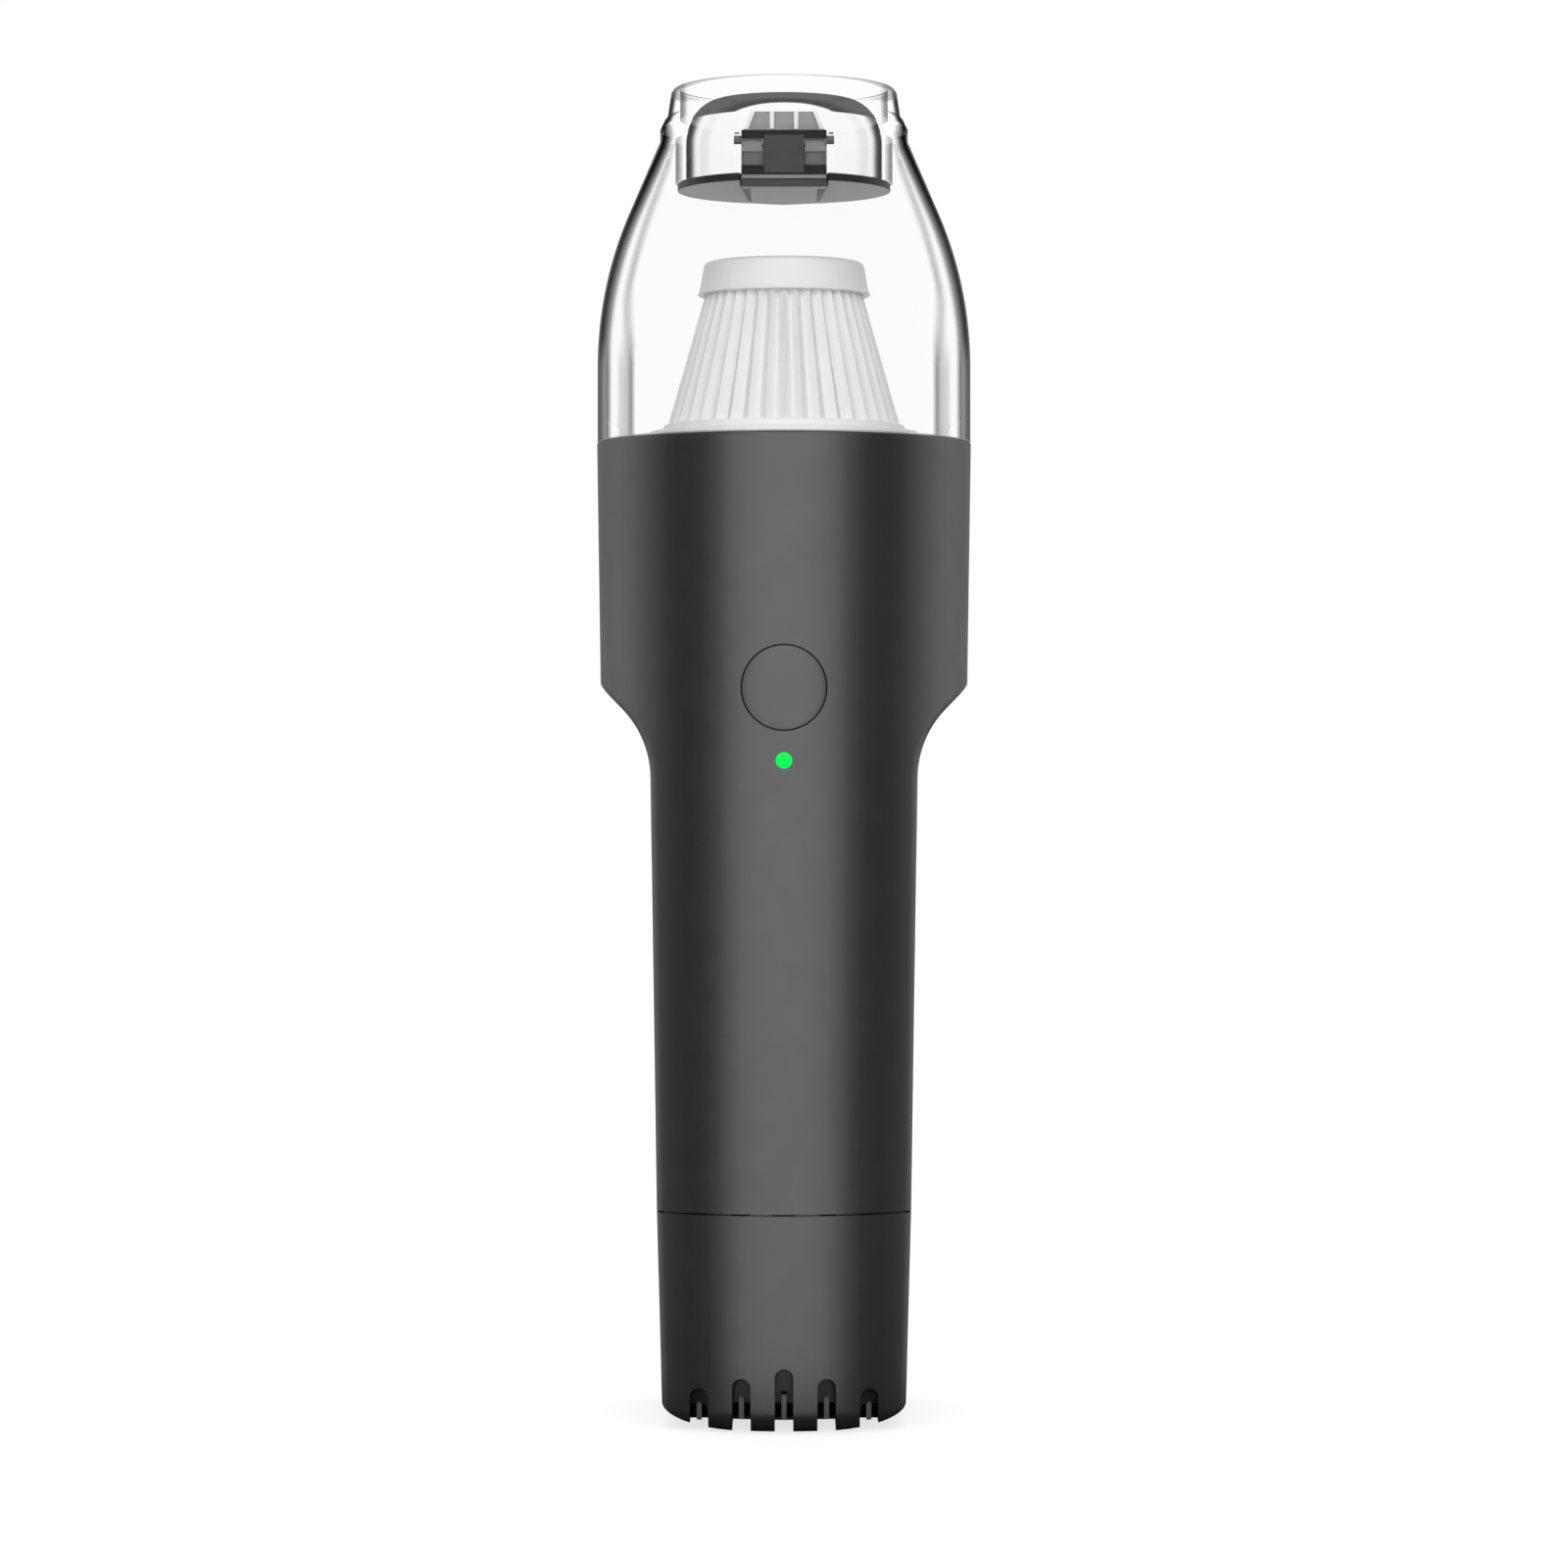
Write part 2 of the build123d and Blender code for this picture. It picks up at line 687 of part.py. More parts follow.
motor_mid_z = motor_bottom_z + end_cap_thickness + (motor_length - end_cap_thickness) / 2
with BuildPart() as motor_magnets:
    with BuildSketch(Plane.XZ) as magnet_section:
        with BuildLine():
            ring_profile(
                can_inner_radius - magnet_thickness,
                can_inner_radius,
                motor_mid_z - magnet_length / 2,
                motor_mid_z + magnet_length / 2,
            )
        make_face()
    revolve(magnet_section.sketch.rotate(Axis.Z, -magnet_span / 2), axis=Axis.Z, revolution_arc=magnet_span)
    revolve(
        magnet_section.sketch.rotate(Axis.Z, 180 - magnet_span / 2),
        axis=Axis.Z,
        revolution_arc=magnet_span,
    )
motor_magnets.part.label = "motor_magnets"
export_step(motor_magnets.part, "parts/motor_magnets.step")

shroud_top_z = motor_top_z + shroud_height
shroud_floor_z = motor_top_z + shroud_floor
with BuildPart() as motor_screws:
    with BuildSketch(Plane.XY.offset(shroud_floor_z)):
        with PolarLocations(motor_screw_circle, 2):
            Circle(motor_screw_head_radius)
    extrude(amount=motor_screw_head_height)
    with BuildSketch(Plane.XY.offset(shroud_floor_z)):
        with PolarLocations(motor_screw_circle, 2):
            Circle(motor_screw_radius)
    extrude(amount=-motor_screw_length)
motor_screws.part.label = "motor_screws"
export_step(motor_screws.part, "parts/motor_screws.step")

# Rotor: shaft, slotted core, commutator and impeller
core_radius = can_inner_radius - magnet_thickness - air_gap
fan_base_z = shroud_floor_z + fan_lift
fan_top_z = fan_base_z + fan_plate + fan_blade_height
with BuildPart() as rotor_shaft:
    with BuildSketch(Plane.XY.offset(motor_bottom_z - shaft_tail)):
        Circle(shaft_radius)
    extrude(amount=fan_top_z + shaft_nose + shaft_tail - motor_bottom_z)
rotor_shaft.part.label = "rotor_shaft"
export_step(rotor_shaft.part, "parts/rotor_shaft.step")

with BuildPart() as rotor_core:
    with BuildSketch(Plane.XY.offset(motor_mid_z - core_length / 2)):
        Circle(core_radius)
        with PolarLocations(core_radius - core_slot_depth / 2, core_slots):
            Rectangle(core_slot_depth + air_gap, core_slot_width, mode=Mode.SUBTRACT)
        Circle(shaft_radius, mode=Mode.SUBTRACT)
    extrude(amount=core_length)
rotor_core.part.label = "rotor_core"
export_step(rotor_core.part, "parts/rotor_core.step")

with BuildPart() as commutator:
    with BuildSketch(Plane.XY.offset(motor_mid_z - core_length / 2)):
        Circle(commutator_radius)
        Circle(shaft_radius, mode=Mode.SUBTRACT)
    extrude(amount=-commutator_length)
commutator.part.label = "commutator"
export_step(commutator.part, "parts/commutator.step")

blade_tip = (
    (fan_radius - fan_blade_thickness) * cos(radians(fan_blade_sweep)),
    (fan_radius - fan_blade_thickness) * sin(radians(fan_blade_sweep)),
)
blade_line = RadiusArc((fan_hub_radius, 0), blade_tip, -fan_blade_radius)
with BuildPart() as impeller:
    with BuildSketch(Plane.XY.offset(fan_base_z)):
        Circle(fan_radius)
    extrude(amount=fan_plate)
    with BuildSketch(Plane.XY.offset(fan_base_z)):
        Circle(fan_hub_radius)
        with PolarLocations(0, fan_blade_count):
            SlotArc(blade_line, fan_blade_thickness)
    extrude(amount=fan_plate + fan_blade_height)
    with BuildSketch(Plane.XY.offset(fan_base_z)):
        Circle(shaft_radius)
    extrude(amount=fan_plate + fan_blade_height, mode=Mode.SUBTRACT)
impeller.part.label = "impeller"
export_step(impeller.part, "parts/impeller.step")

# Fan shroud: bowl that sits on the housing's ledge and carries the motor below it
shroud_foot_radius = barrel_radius(motor_top_z) - housing_wall - slip_gap
vent_half = shroud_vent_span / 2
vent_start = (shroud_vent_circle * cos(radians(vent_half)), -shroud_vent_circle * sin(radians(vent_half)))
vent_end = (shroud_vent_circle * cos(radians(vent_half)), shroud_vent_circle * sin(radians(vent_half)))
vent_line = ThreePointArc(vent_start, (shroud_vent_circle, 0), vent_end)
with BuildPart() as fan_shroud:
    with BuildSketch(Plane.XY.offset(motor_top_z)):
        Circle(shroud_foot_radius)
        Circle(motor_boss_radius + snug_gap, mode=Mode.SUBTRACT)
        with PolarLocations(motor_screw_circle, 2):
            Circle(motor_screw_radius + snug_gap, mode=Mode.SUBTRACT)
        with PolarLocations(0, shroud_vent_count):
            SlotArc(vent_line, shroud_vent_width, mode=Mode.SUBTRACT)
    extrude(amount=shroud_floor)
    with BuildSketch(Plane.XY.offset(shroud_floor_z)):
        Circle(shroud_inner_radius + shroud_wall)
        with PolarLocations(seat_screw_circle, seat_screw_count):
            Circle(seat_boss_radius)
        Circle(shroud_inner_radius, mode=Mode.SUBTRACT)
    extrude(amount=shroud_height - shroud_floor)
    with BuildSketch(Plane.XY.offset(shroud_top_z)):
        with PolarLocations(seat_screw_circle, seat_screw_count):
            Circle(seat_screw_radius + running_gap)
    extrude(amount=-seat_screw_length, mode=Mode.SUBTRACT)
fan_shroud.part.label = "fan_shroud"
export_step(fan_shroud.part, "parts/fan_shroud.step")

# Filter seat: flanged drum on top of the shroud, with a spoked eye over the impeller
seat_top_z = rim_z - seat_drop
seat_flange_radius = seat_screw_circle + seat_screw_head_radius
seat_flange_z = shroud_top_z + seat_flange
with BuildPart() as filter_seat:
    with BuildSketch(Plane.XZ):
        with BuildLine():
            Polyline(
                (eye_radius, shroud_top_z),
                (seat_flange_radius, shroud_top_z),
                (seat_flange_radius, seat_flange_z),
                (seat_wall_radius, seat_flange_z),
                (seat_wall_radius, seat_top_z),
                (seat_mouth_radius, seat_top_z),
                (seat_mouth_radius, seat_top_z - seat_plate),
                (seat_wall_radius - seat_wall, seat_top_z - seat_plate),
                (seat_wall_radius - seat_wall, shroud_top_z + seat_plate),
                (eye_radius, shroud_top_z + seat_plate),
                close=True,
            )
        make_face()
    revolve(axis=Axis.Z)
    with BuildSketch(Plane.XY.offset(shroud_top_z)):
        Circle(eye_hub_radius)
        with PolarLocations(eye_radius / 2, eye_spoke_count):
            Rectangle(eye_radius + seat_plate, eye_spoke_width)
    extrude(amount=seat_plate)
    with BuildSketch(Plane.XY.offset(shroud_top_z)):
        with PolarLocations(seat_screw_circle, seat_screw_count):
            Circle(seat_screw_radius + snug_gap)
    extrude(amount=seat_flange, mode=Mode.SUBTRACT)
filter_seat.part.label = "filter_seat"
export_step(filter_seat.part, "parts/filter_seat.step")

with BuildPart() as seat_screws:
    with BuildSketch(Plane.XY.offset(seat_flange_z)):
        with PolarLocations(seat_screw_circle, seat_screw_count):
            Circle(seat_screw_head_radius)
    extrude(amount=seat_screw_head_height)
    with BuildSketch(Plane.XY.offset(seat_flange_z)):
        with PolarLocations(seat_screw_circle, seat_screw_count):
            Circle(seat_screw_radius)
    extrude(amount=-seat_screw_length)
seat_screws.part.label = "seat_screws"
export_step(seat_screws.part, "parts/seat_screws.step")

# Cup seal: soft ring round the seat's wall, whose lip meets the inside of the cup's spigot
seal_top_z = seat_top_z - seat_drop
with BuildPart() as cup_seal:
    with BuildSketch(Plane.XZ):
        with BuildLine():
            Polyline(
                (seat_wall_radius, seat_flange_z),
                (seat_wall_radius + seal_wall, seat_flange_z),
                (seat_wall_radius + seal_wall, seal_top_z - seal_lip),
                (spigot_bore - slip_gap, seal_top_z - seal_lip),
                (spigot_bore - slip_gap, seal_top_z),
                (seat_wall_radius, seal_top_z),
                close=True,
            )
        make_face()
    revolve(axis=Axis.Z)
cup_seal.part.label = "cup_seal"
export_step(cup_seal.part, "parts/cup_seal.step")

# Dust cup: clear drum that closes in to a nose, with a spigot below and a skirt round the inlet
cup_base_z = rim_z + seat_gap
with BuildPart() as dust_cup:
    with BuildSketch(Plane.XZ):
        with BuildLine():
            cup_base = Polyline(
                (0, spigot_bottom_z),
                (spigot_radius, spigot_bottom_z),
                (spigot_radius, cup_base_z),
                (cup_radius, cup_base_z),
                (cup_radius, cup_straight_z),
            )
            cup_dome = JernArc(cup_base @ 1, (0, 1), cup_dome_radius, cup_lean)
            cup_cone = PolarLine(
                cup_dome @ 1,
                (cup_dome @ 1).X - nose_band_radius,
                angle=90 + cup_lean,
                length_mode=LengthMode.HORIZONTAL,
            )
            Polyline(
                cup_cone @ 1,
                (nose_band_radius, nose_step_z),
                (nose_band_radius - nose_shoulder_step, nose_step_z + nose_shoulder_height),
                (collar_radius, nose_step_z + nose_shoulder_height + collar_root_height),
                (collar_radius, overall_height),
                (0, overall_height),
                (0, spigot_bottom_z),
            )
        make_face()
    revolve(axis=Axis.Z)
    fillet(edges().group_by(Axis.Z)[-1], collar_edge_radius)
    with BuildSketch(Plane.XZ):
        with BuildLine():
            cavity_base = Polyline(
                (skirt_radius, window_top_z),
                (skirt_radius, skirt_bottom_z),
                (0, skirt_bottom_z),
                (0, spigot_bottom_z),
                (spigot_bore, spigot_bottom_z),
                (spigot_bore, cup_base_z + spigot_rise),
                (cup_radius - cup_wall, cup_base_z + spigot_rise + spigot_wall),
                (cup_radius - cup_wall, cup_straight_z),
            )
            cavity_dome = JernArc(cavity_base @ 1, (0, 1), cup_dome_radius - cup_wall, cup_lean)
            dome_end = cavity_dome @ 1
            cavity_cone = PolarLine(
                dome_end,
                window_top_z - dome_end.Y,
                angle=90 + cup_lean,
                length_mode=LengthMode.VERTICAL,
            )
            Line(cavity_cone @ 1, cavity_base @ 0)
        make_face()
    revolve(axis=Axis.Z, mode=Mode.SUBTRACT)
    with BuildSketch(Plane.XY.offset(skirt_bottom_z)):
        Circle(nose_bore_radius)
    extrude(amount=overall_height - skirt_bottom_z, mode=Mode.SUBTRACT)
    with BuildSketch(Plane.XZ):
        with Locations((0, (skirt_bottom_z + window_top_z) / 2)):
            Rectangle(arm_width + slip_gap * 4 + ear_thickness * 2, window_top_z - skirt_bottom_z)
    extrude(amount=skirt_radius, mode=Mode.SUBTRACT)
dust_cup.part.label = "dust_cup"
export_step(dust_cup.part, "parts/dust_cup.step")

# Inlet sleeve: tube with a rolled-in top lip, and at its front a flat wall with the hinge's ears
sleeve_radius = nose_bore_radius - snug_gap
sleeve_bore = sleeve_radius - sleeve_wall
lip_start_z = overall_height - sleeve_recess - sleeve_lip_radius
window_wall_y = window_setback - sleeve_bore
window_half_width = arm_width / 2 + slip_gap
carrier_top_z = window_top_z + carrier_height
hinge_y = window_wall_y - hinge_reach
hinge_z = window_top_z - hinge_drop
hinge_pin_length = (window_half_width + ear_thickness + hinge_pin_overhang) * 2
ear_mid_x = window_half_width + ear_thickness / 2
with BuildPart() as inlet_sleeve:
    with BuildSketch(Plane.XZ):
        with BuildLine():
            sleeve_side = Polyline(
                (sleeve_bore, lip_start_z),
                (sleeve_bore, skirt_bottom_z),
                (sleeve_radius, skirt_bottom_z),
                (sleeve_radius, lip_start_z),
            )
            outer_roll = JernArc(sleeve_side @ 1, (0, 1), sleeve_lip_radius, 90)
            inner_roll = JernArc(sleeve_side @ 0, (0, 1), sleeve_lip_radius - sleeve_wall, 90)
            Line(outer_roll @ 1, inner_roll @ 1)
        make_face()
    revolve(axis=Axis.Z)
    with BuildSketch(Plane.XZ.offset(-window_wall_y)):
        with Locations((0, (skirt_bottom_z + window_top_z) / 2)):
            Rectangle(window_half_width * 2, window_top_z - skirt_bottom_z)
    extrude(amount=sleeve_radius, mode=Mode.SUBTRACT)
    with BuildSketch(Plane.XZ.offset(-window_wall_y)):
        with Locations((0, (skirt_bottom_z + window_top_z) / 2)):
            Rectangle(window_half_width * 2, window_top_z - skirt_bottom_z)
        with Locations((0, (window_top_z + carrier_top_z) / 2)):
            Trapezoid(carrier_width, carrier_top_z - window_top_z, carrier_side_angle)
    extrude(amount=window_wall)
    with BuildSketch(Plane.XZ.offset(window_wall - window_wall_y)):
        with Locations((0, (window_top_z + carrier_top_z) / 2)):
            with GridLocations(carrier_rib_x * 2, 0, 2, 1):
                Rectangle(carrier_rib_width, carrier_top_z - window_top_z)
    extrude(amount=carrier_rib_depth)
    for side_sign in (-1, 1):
        with BuildSketch(Plane.YZ.offset(side_sign * ear_mid_x)):
            with Locations((hinge_y, hinge_z)):
                Circle(ear_half_height)
            with Locations(((hinge_y + window_wall_y) / 2, hinge_z)):
                Rectangle(window_wall_y - hinge_y, ear_half_height * 2)
        extrude(amount=ear_thickness / 2, both=True)
    with BuildSketch(Plane.YZ):
        with Locations((hinge_y, hinge_z)):
            Circle(hinge_pin_radius)
    extrude(amount=hinge_pin_length, both=True, mode=Mode.SUBTRACT)
inlet_sleeve.part.label = "inlet_sleeve"
export_step(inlet_sleeve.part, "parts/inlet_sleeve.step")

with BuildPart() as hinge_pin:
    with BuildSketch(Plane.YZ):
        with Locations((hinge_y, hinge_z)):
            Circle(hinge_pin_radius)
    extrude(amount=hinge_pin_length / 2, both=True)
hinge_pin.part.label = "hinge_pin"
export_step(hinge_pin.part, "parts/hinge_pin.step")

# Flap: disc under the skirt, notched for its arm
flap_top_z = skirt_bottom_z - slip_gap
flap_bottom_z = flap_top_z - flap_thickness
flap_radius = skirt_radius + flap_overlap
arm_back_y = window_wall_y - window_wall - slip_gap
with BuildPart() as flap_disc:
    with BuildSketch(Plane.XY.offset(flap_bottom_z)):
        Circle(flap_radius)
        with Locations((0, arm_back_y - flap_radius / 2)):
            Rectangle(arm_width + slip_gap * 2, flap_radius, mode=Mode.SUBTRACT)
    extrude(amount=flap_thickness)
    fillet(faces().sort_by(Axis.Z)[0].edges().filter_by(GeomType.CIRCLE), flap_edge_radius)
flap_disc.part.label = "flap_disc"
export_step(flap_disc.part, "parts/flap_disc.step")

# Flap arm: knuckle on the pin, plate with a central column and a foot bar, tongue under the disc
plate_front_y = arm_back_y - arm_plate
arm_bottom_z = flap_bottom_z - tongue_thickness
bar_top_z = flap_top_z + arm_bar_height
pocket_mid_z = (hinge_z + bar_top_z) / 2
pocket_width = (arm_width - arm_column_width) / 2
tongue_mid_y = plate_front_y + tongue_length / 2
with BuildPart() as flap_arm:
    with BuildSketch(Plane.YZ):
        with BuildLine():
            Polyline(
                (arm_back_y, hinge_z),
                (plate_front_y, hinge_z),
                (plate_front_y, bar_top_z),
                (plate_front_y - arm_bar_depth, bar_top_z),
                (plate_front_y - arm_bar_depth, arm_bottom_z),
                (arm_back_y, arm_bottom_z),
                close=True,
            )
        make_face()
        with Locations((hinge_y, hinge_z)):
            Circle(arm_knuckle_radius)
    extrude(amount=arm_width / 2, both=True)
    with BuildSketch(Plane.XZ.offset(-plate_front_y)):
        with Locations((0, pocket_mid_z)):
            Rectangle(arm_column_width, hinge_z - bar_top_z)
    extrude(amount=arm_column_depth)
    with BuildSketch(Plane.XZ.offset(-plate_front_y)):
        with Locations((0, (pocket_mid_z + hinge_z - arm_knuckle_radius) / 2)):
            with GridLocations(arm_width - pocket_width, 0, 2, 1):
                Rectangle(pocket_width, hinge_z - arm_knuckle_radius - pocket_mid_z)
    extrude(amount=-arm_pocket_step, mode=Mode.SUBTRACT)
    with BuildSketch(Plane.XY.offset(arm_bottom_z)):
        with Locations((0, tongue_mid_y)):
            SlotOverall(tongue_length + tongue_width, tongue_width, rotation=90)
        with Locations((0, plate_front_y - tongue_width / 2)):
            Rectangle(tongue_width, tongue_width, mode=Mode.SUBTRACT)
    extrude(amount=tongue_thickness)
    with BuildSketch(Plane.YZ):
        with Locations((hinge_y, hinge_z)):
            Circle(hinge_pin_radius + running_gap)
    extrude(amount=arm_width, both=True, mode=Mode.SUBTRACT)
flap_arm.part.label = "flap_arm"
export_step(flap_arm.part, "parts/flap_arm.step")

# Filter: seal, flange, pleated cone and cap
filter_base_z = seat_top_z + seat_gap
flange_bottom_z = filter_base_z + filter_seal_thickness
flange_top_z = flange_bottom_z + filter_flange_thickness
pleat_base_z = flange_top_z + filter_collar_height
pleat_top_z = pleat_base_z + pleat_height
filter_cap_top_z = pleat_top_z + filter_cap_height
filter_flange_radius = seat_wall_radius - filter_flange_setback
filter_collar_radius = filter_flange_radius - filter_flange_step
pleat_base_radius = filter_collar_radius - pleat_inset
pleat_tip_radius = pleat_base_radius - pleat_taper
filter_cap_skirt_radius = pleat_tip_radius + filter_cap_overhang
filter_cap_radius = filter_cap_skirt_radius - filter_cap_draft
filter_cap_lip_radius = filter_cap_skirt_radius + filter_cap_lip
with BuildPart() as filter_seal:
    with BuildSketch(Plane.XY.offset(filter_base_z)):
        Circle(filter_flange_radius - snug_gap)
        Circle(filter_flange_radius - filter_seal_width, mode=Mode.SUBTRACT)
    extrude(amount=filter_seal_thickness)
filter_seal.part.label = "filter_seal"
export_step(filter_seal.part, "parts/filter_seal.step")

paper_base_bore = pleat_base_radius - pleat_depth - pleat_paper
paper_tip_bore = pleat_tip_radius - pleat_depth - pleat_paper
with BuildPart() as filter_flange:
    with BuildSketch(Plane.XY.offset(flange_bottom_z)):
        Circle(filter_flange_radius)
        Circle(paper_base_bore, mode=Mode.SUBTRACT)
    extrude(amount=filter_flange_thickness)
    with BuildSketch(Plane.XY.offset(flange_top_z)):
        Circle(filter_collar_radius)
        Circle(paper_base_bore, mode=Mode.SUBTRACT)
    extrude(amount=filter_collar_height)
filter_flange.part.label = "filter_flange"
export_step(filter_flange.part, "parts/filter_flange.step")


def pleat_outline(radius):
    # Zigzag ring: crests on the given radius, valleys one pleat depth further in
    points = []
    for index in range(pleat_count * 2):
        angle = pi * index / pleat_count
        reach = radius - pleat_depth * (index % 2)
        points.append((reach * cos(angle), reach * sin(angle)))
    return points


with BuildPart() as filter_pleats:
    with BuildSketch(Plane.XY.offset(pleat_base_z)):
        Polygon(*pleat_outline(pleat_base_radius), align=None)
    with BuildSketch(Plane.XY.offset(pleat_top_z)):
        Polygon(*pleat_outline(pleat_tip_radius), align=None)
    loft(ruled=True)
    with BuildSketch(Plane.XZ):
        with BuildLine():
            Polyline(
                (0, pleat_base_z),
                (paper_base_bore, pleat_base_z),
                (paper_tip_bore, pleat_top_z),
                (0, pleat_top_z),
                close=True,
            )
        make_face()
    revolve(axis=Axis.Z, mode=Mode.SUBTRACT)
filter_pleats.part.label = "filter_pleats"
export_step(filter_pleats.part, "parts/filter_pleats.step")

with BuildPart() as filter_cap:
    with BuildSketch(Plane.XZ):
        with BuildLine():
            Polyline(
                (0, pleat_top_z),
                (filter_cap_lip_radius, pleat_top_z),
                (filter_cap_lip_radius, pleat_top_z + filter_cap_lip_height),
                (filter_cap_skirt_radius, pleat_top_z + filter_cap_lip_height),
                (filter_cap_radius, filter_cap_top_z),
                (0, filter_cap_top_z),
                close=True,
            )
        make_face()
    revolve(axis=Axis.Z)
    fillet(edges().group_by(Axis.Z)[-1], filter_cap_edge_radius)
    with BuildSketch(Plane.XY.offset(filter_cap_top_z)):
        Circle(filter_cap_radius - filter_cap_rim - filter_cap_edge_radius)
    extrude(amount=-filter_cap_dish, mode=Mode.SUBTRACT)
filter_cap.part.label = "filter_cap"
export_step(filter_cap.part, "parts/filter_cap.step")
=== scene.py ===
import json
import math

import bmesh
import bpy
from mathutils import Matrix, Vector


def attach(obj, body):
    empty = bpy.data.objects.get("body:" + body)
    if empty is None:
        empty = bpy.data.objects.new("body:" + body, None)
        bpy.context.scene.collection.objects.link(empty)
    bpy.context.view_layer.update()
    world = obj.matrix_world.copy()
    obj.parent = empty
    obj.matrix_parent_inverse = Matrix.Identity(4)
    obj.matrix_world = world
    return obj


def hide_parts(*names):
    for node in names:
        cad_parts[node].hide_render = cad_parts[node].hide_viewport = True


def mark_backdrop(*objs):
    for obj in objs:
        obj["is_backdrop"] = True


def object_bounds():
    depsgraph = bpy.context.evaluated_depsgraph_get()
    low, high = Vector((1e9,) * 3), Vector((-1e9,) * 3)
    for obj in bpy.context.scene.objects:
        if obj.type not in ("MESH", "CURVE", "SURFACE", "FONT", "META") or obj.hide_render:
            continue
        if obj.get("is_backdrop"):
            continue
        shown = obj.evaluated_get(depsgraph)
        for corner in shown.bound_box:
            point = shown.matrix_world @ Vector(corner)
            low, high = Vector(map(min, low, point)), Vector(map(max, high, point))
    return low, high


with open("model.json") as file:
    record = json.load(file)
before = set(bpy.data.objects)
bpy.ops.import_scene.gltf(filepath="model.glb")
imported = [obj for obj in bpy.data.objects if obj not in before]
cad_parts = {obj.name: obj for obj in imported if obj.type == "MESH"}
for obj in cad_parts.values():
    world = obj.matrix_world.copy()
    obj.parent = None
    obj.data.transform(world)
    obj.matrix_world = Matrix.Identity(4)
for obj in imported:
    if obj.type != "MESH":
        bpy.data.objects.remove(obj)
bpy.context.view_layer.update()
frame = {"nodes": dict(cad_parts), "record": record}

scene = bpy.context.scene
scene.view_settings.view_transform = "Standard"
mm = 0.001

# Camera level with the middle of the grip, square on to the front
photoView = {"distance": 0.95, "height": 0.1186, "lens": 115.4, "sensor": 36, "clipStart": 0.01}
cameraData = bpy.data.cameras.new("photoCamera")
cameraData.lens = photoView["lens"]
cameraData.sensor_width = photoView["sensor"]
cameraData.clip_start = photoView["clipStart"]
camera = bpy.data.objects.new("photoCamera", cameraData)
camera.location = (0, -photoView["distance"], photoView["height"])
camera.rotation_euler = (math.radians(90), 0, 0)
scene.collection.objects.link(camera)
scene.camera = camera
print("camera set")


# Small helpers for node trees
def addNode(tree, kind, **settings):
    node = tree.nodes.new(kind)
    for key, value in settings.items():
        setattr(node, key, value)
    return node


# A value for an input, or the output of another node
def feed(node, socket, value):
    if isinstance(value, bpy.types.NodeSocket):
        node.id_data.links.new(value, node.inputs[socket])
    else:
        node.inputs[socket].default_value = value


def addRamp(tree, stops, source):
    ramp = addNode(tree, "ShaderNodeValToRGB")
    ramp.color_ramp.interpolation = "LINEAR"
    while len(ramp.color_ramp.elements) > 1:
        ramp.color_ramp.elements.remove(ramp.color_ramp.elements[-1])
    for index, (place, level) in enumerate(stops):
        stop = ramp.color_ramp.elements[0] if index == 0 else ramp.color_ramp.elements.new(place)
        stop.position = place
        stop.color = (level, level, level, 1)
    feed(ramp, "Fac", source)
    return ramp.outputs["Color"]


def addMath(tree, operation, first, second):
    node = addNode(tree, "ShaderNodeMath", operation=operation)
    feed(node, 0, first)
    feed(node, 1, second)
    return node.outputs[0]


def mixValues(tree, share, first, second):
    blend = addNode(tree, "ShaderNodeMix", data_type="FLOAT")
    for socket, value in ((0, share), (2, first), (3, second)):
        feed(blend, socket, value)
    return blend.outputs[0]


def mixShaders(tree, share, first, second):
    blend = addNode(tree, "ShaderNodeMixShader")
    for socket, value in enumerate((share, first.outputs[0], second.outputs[0])):
        feed(blend, socket, value)
    return blend


# What the eye meets straight on or through clear plastic
def seenDirectly(tree, lightPath):
    undimmed = addMath(tree, "LESS_THAN", lightPath.outputs["Diffuse Depth"], 0.5)
    through = addMath(tree, "MULTIPLY", lightPath.outputs["Is Transmission Ray"], undimmed)
    return addMath(tree, "MAXIMUM", lightPath.outputs["Is Camera Ray"], through)


def startMaterial(name):
    material = bpy.data.materials.new(name)
    material.use_nodes = True
    tree = material.node_tree
    tree.nodes.clear()
    return material, tree, addNode(tree, "ShaderNodeOutputMaterial")


def makeObject(name, bm):
    mesh = bpy.data.meshes.new(name)
    bm.to_mesh(mesh)
    bm.free()
    obj = bpy.data.objects.new(name, mesh)
    scene.collection.objects.link(obj)
    return obj


# Studio: white to the eye, a soft fill for matt surfaces, and pale sides behind a dark gap for the gloss
studio = {
    "fill": [(0, 0.27), (0.6, 0.2), (0.8, 0.4), (1, 1)],
    "gloss": [(0, 0.04), (0.37, 0.03), (0.47, 0.5), (0.56, 1.1), (0.76, 1.2), (0.86, 0.6), (1, 0.35)],
    "glossBelow": [(0, 0), (0.38, 0.05), (0.44, 1), (1, 1)],
    "glossFloor": [(0, 0.55), (0.25, 0.42), (0.36, 0.06), (0.42, 0), (1, 0)],
    "bounces": 32, "openBounces": 48,
}
softboxes = {
    "frontSoftbox": {"place": (0, -1.5, 0.35), "aim": (0, 0, 0.35), "size": (2.15, 1.7), "radiance": 2.42},
    "topSoftbox": {"place": (0, 0.1, 1.5), "aim": (0, 0, 0.2), "size": (1, 1), "radiance": 2},
}
scene.cycles.max_bounces = studio["bounces"]
scene.cycles.transmission_bounces = studio["bounces"]
scene.cycles.transparent_max_bounces = studio["openBounces"]
world = bpy.data.worlds.new("studioWorld")
world.use_nodes = True
world.cycles.sampling_method = "NONE"
scene.world = world
tree = world.node_tree
tree.nodes.clear()
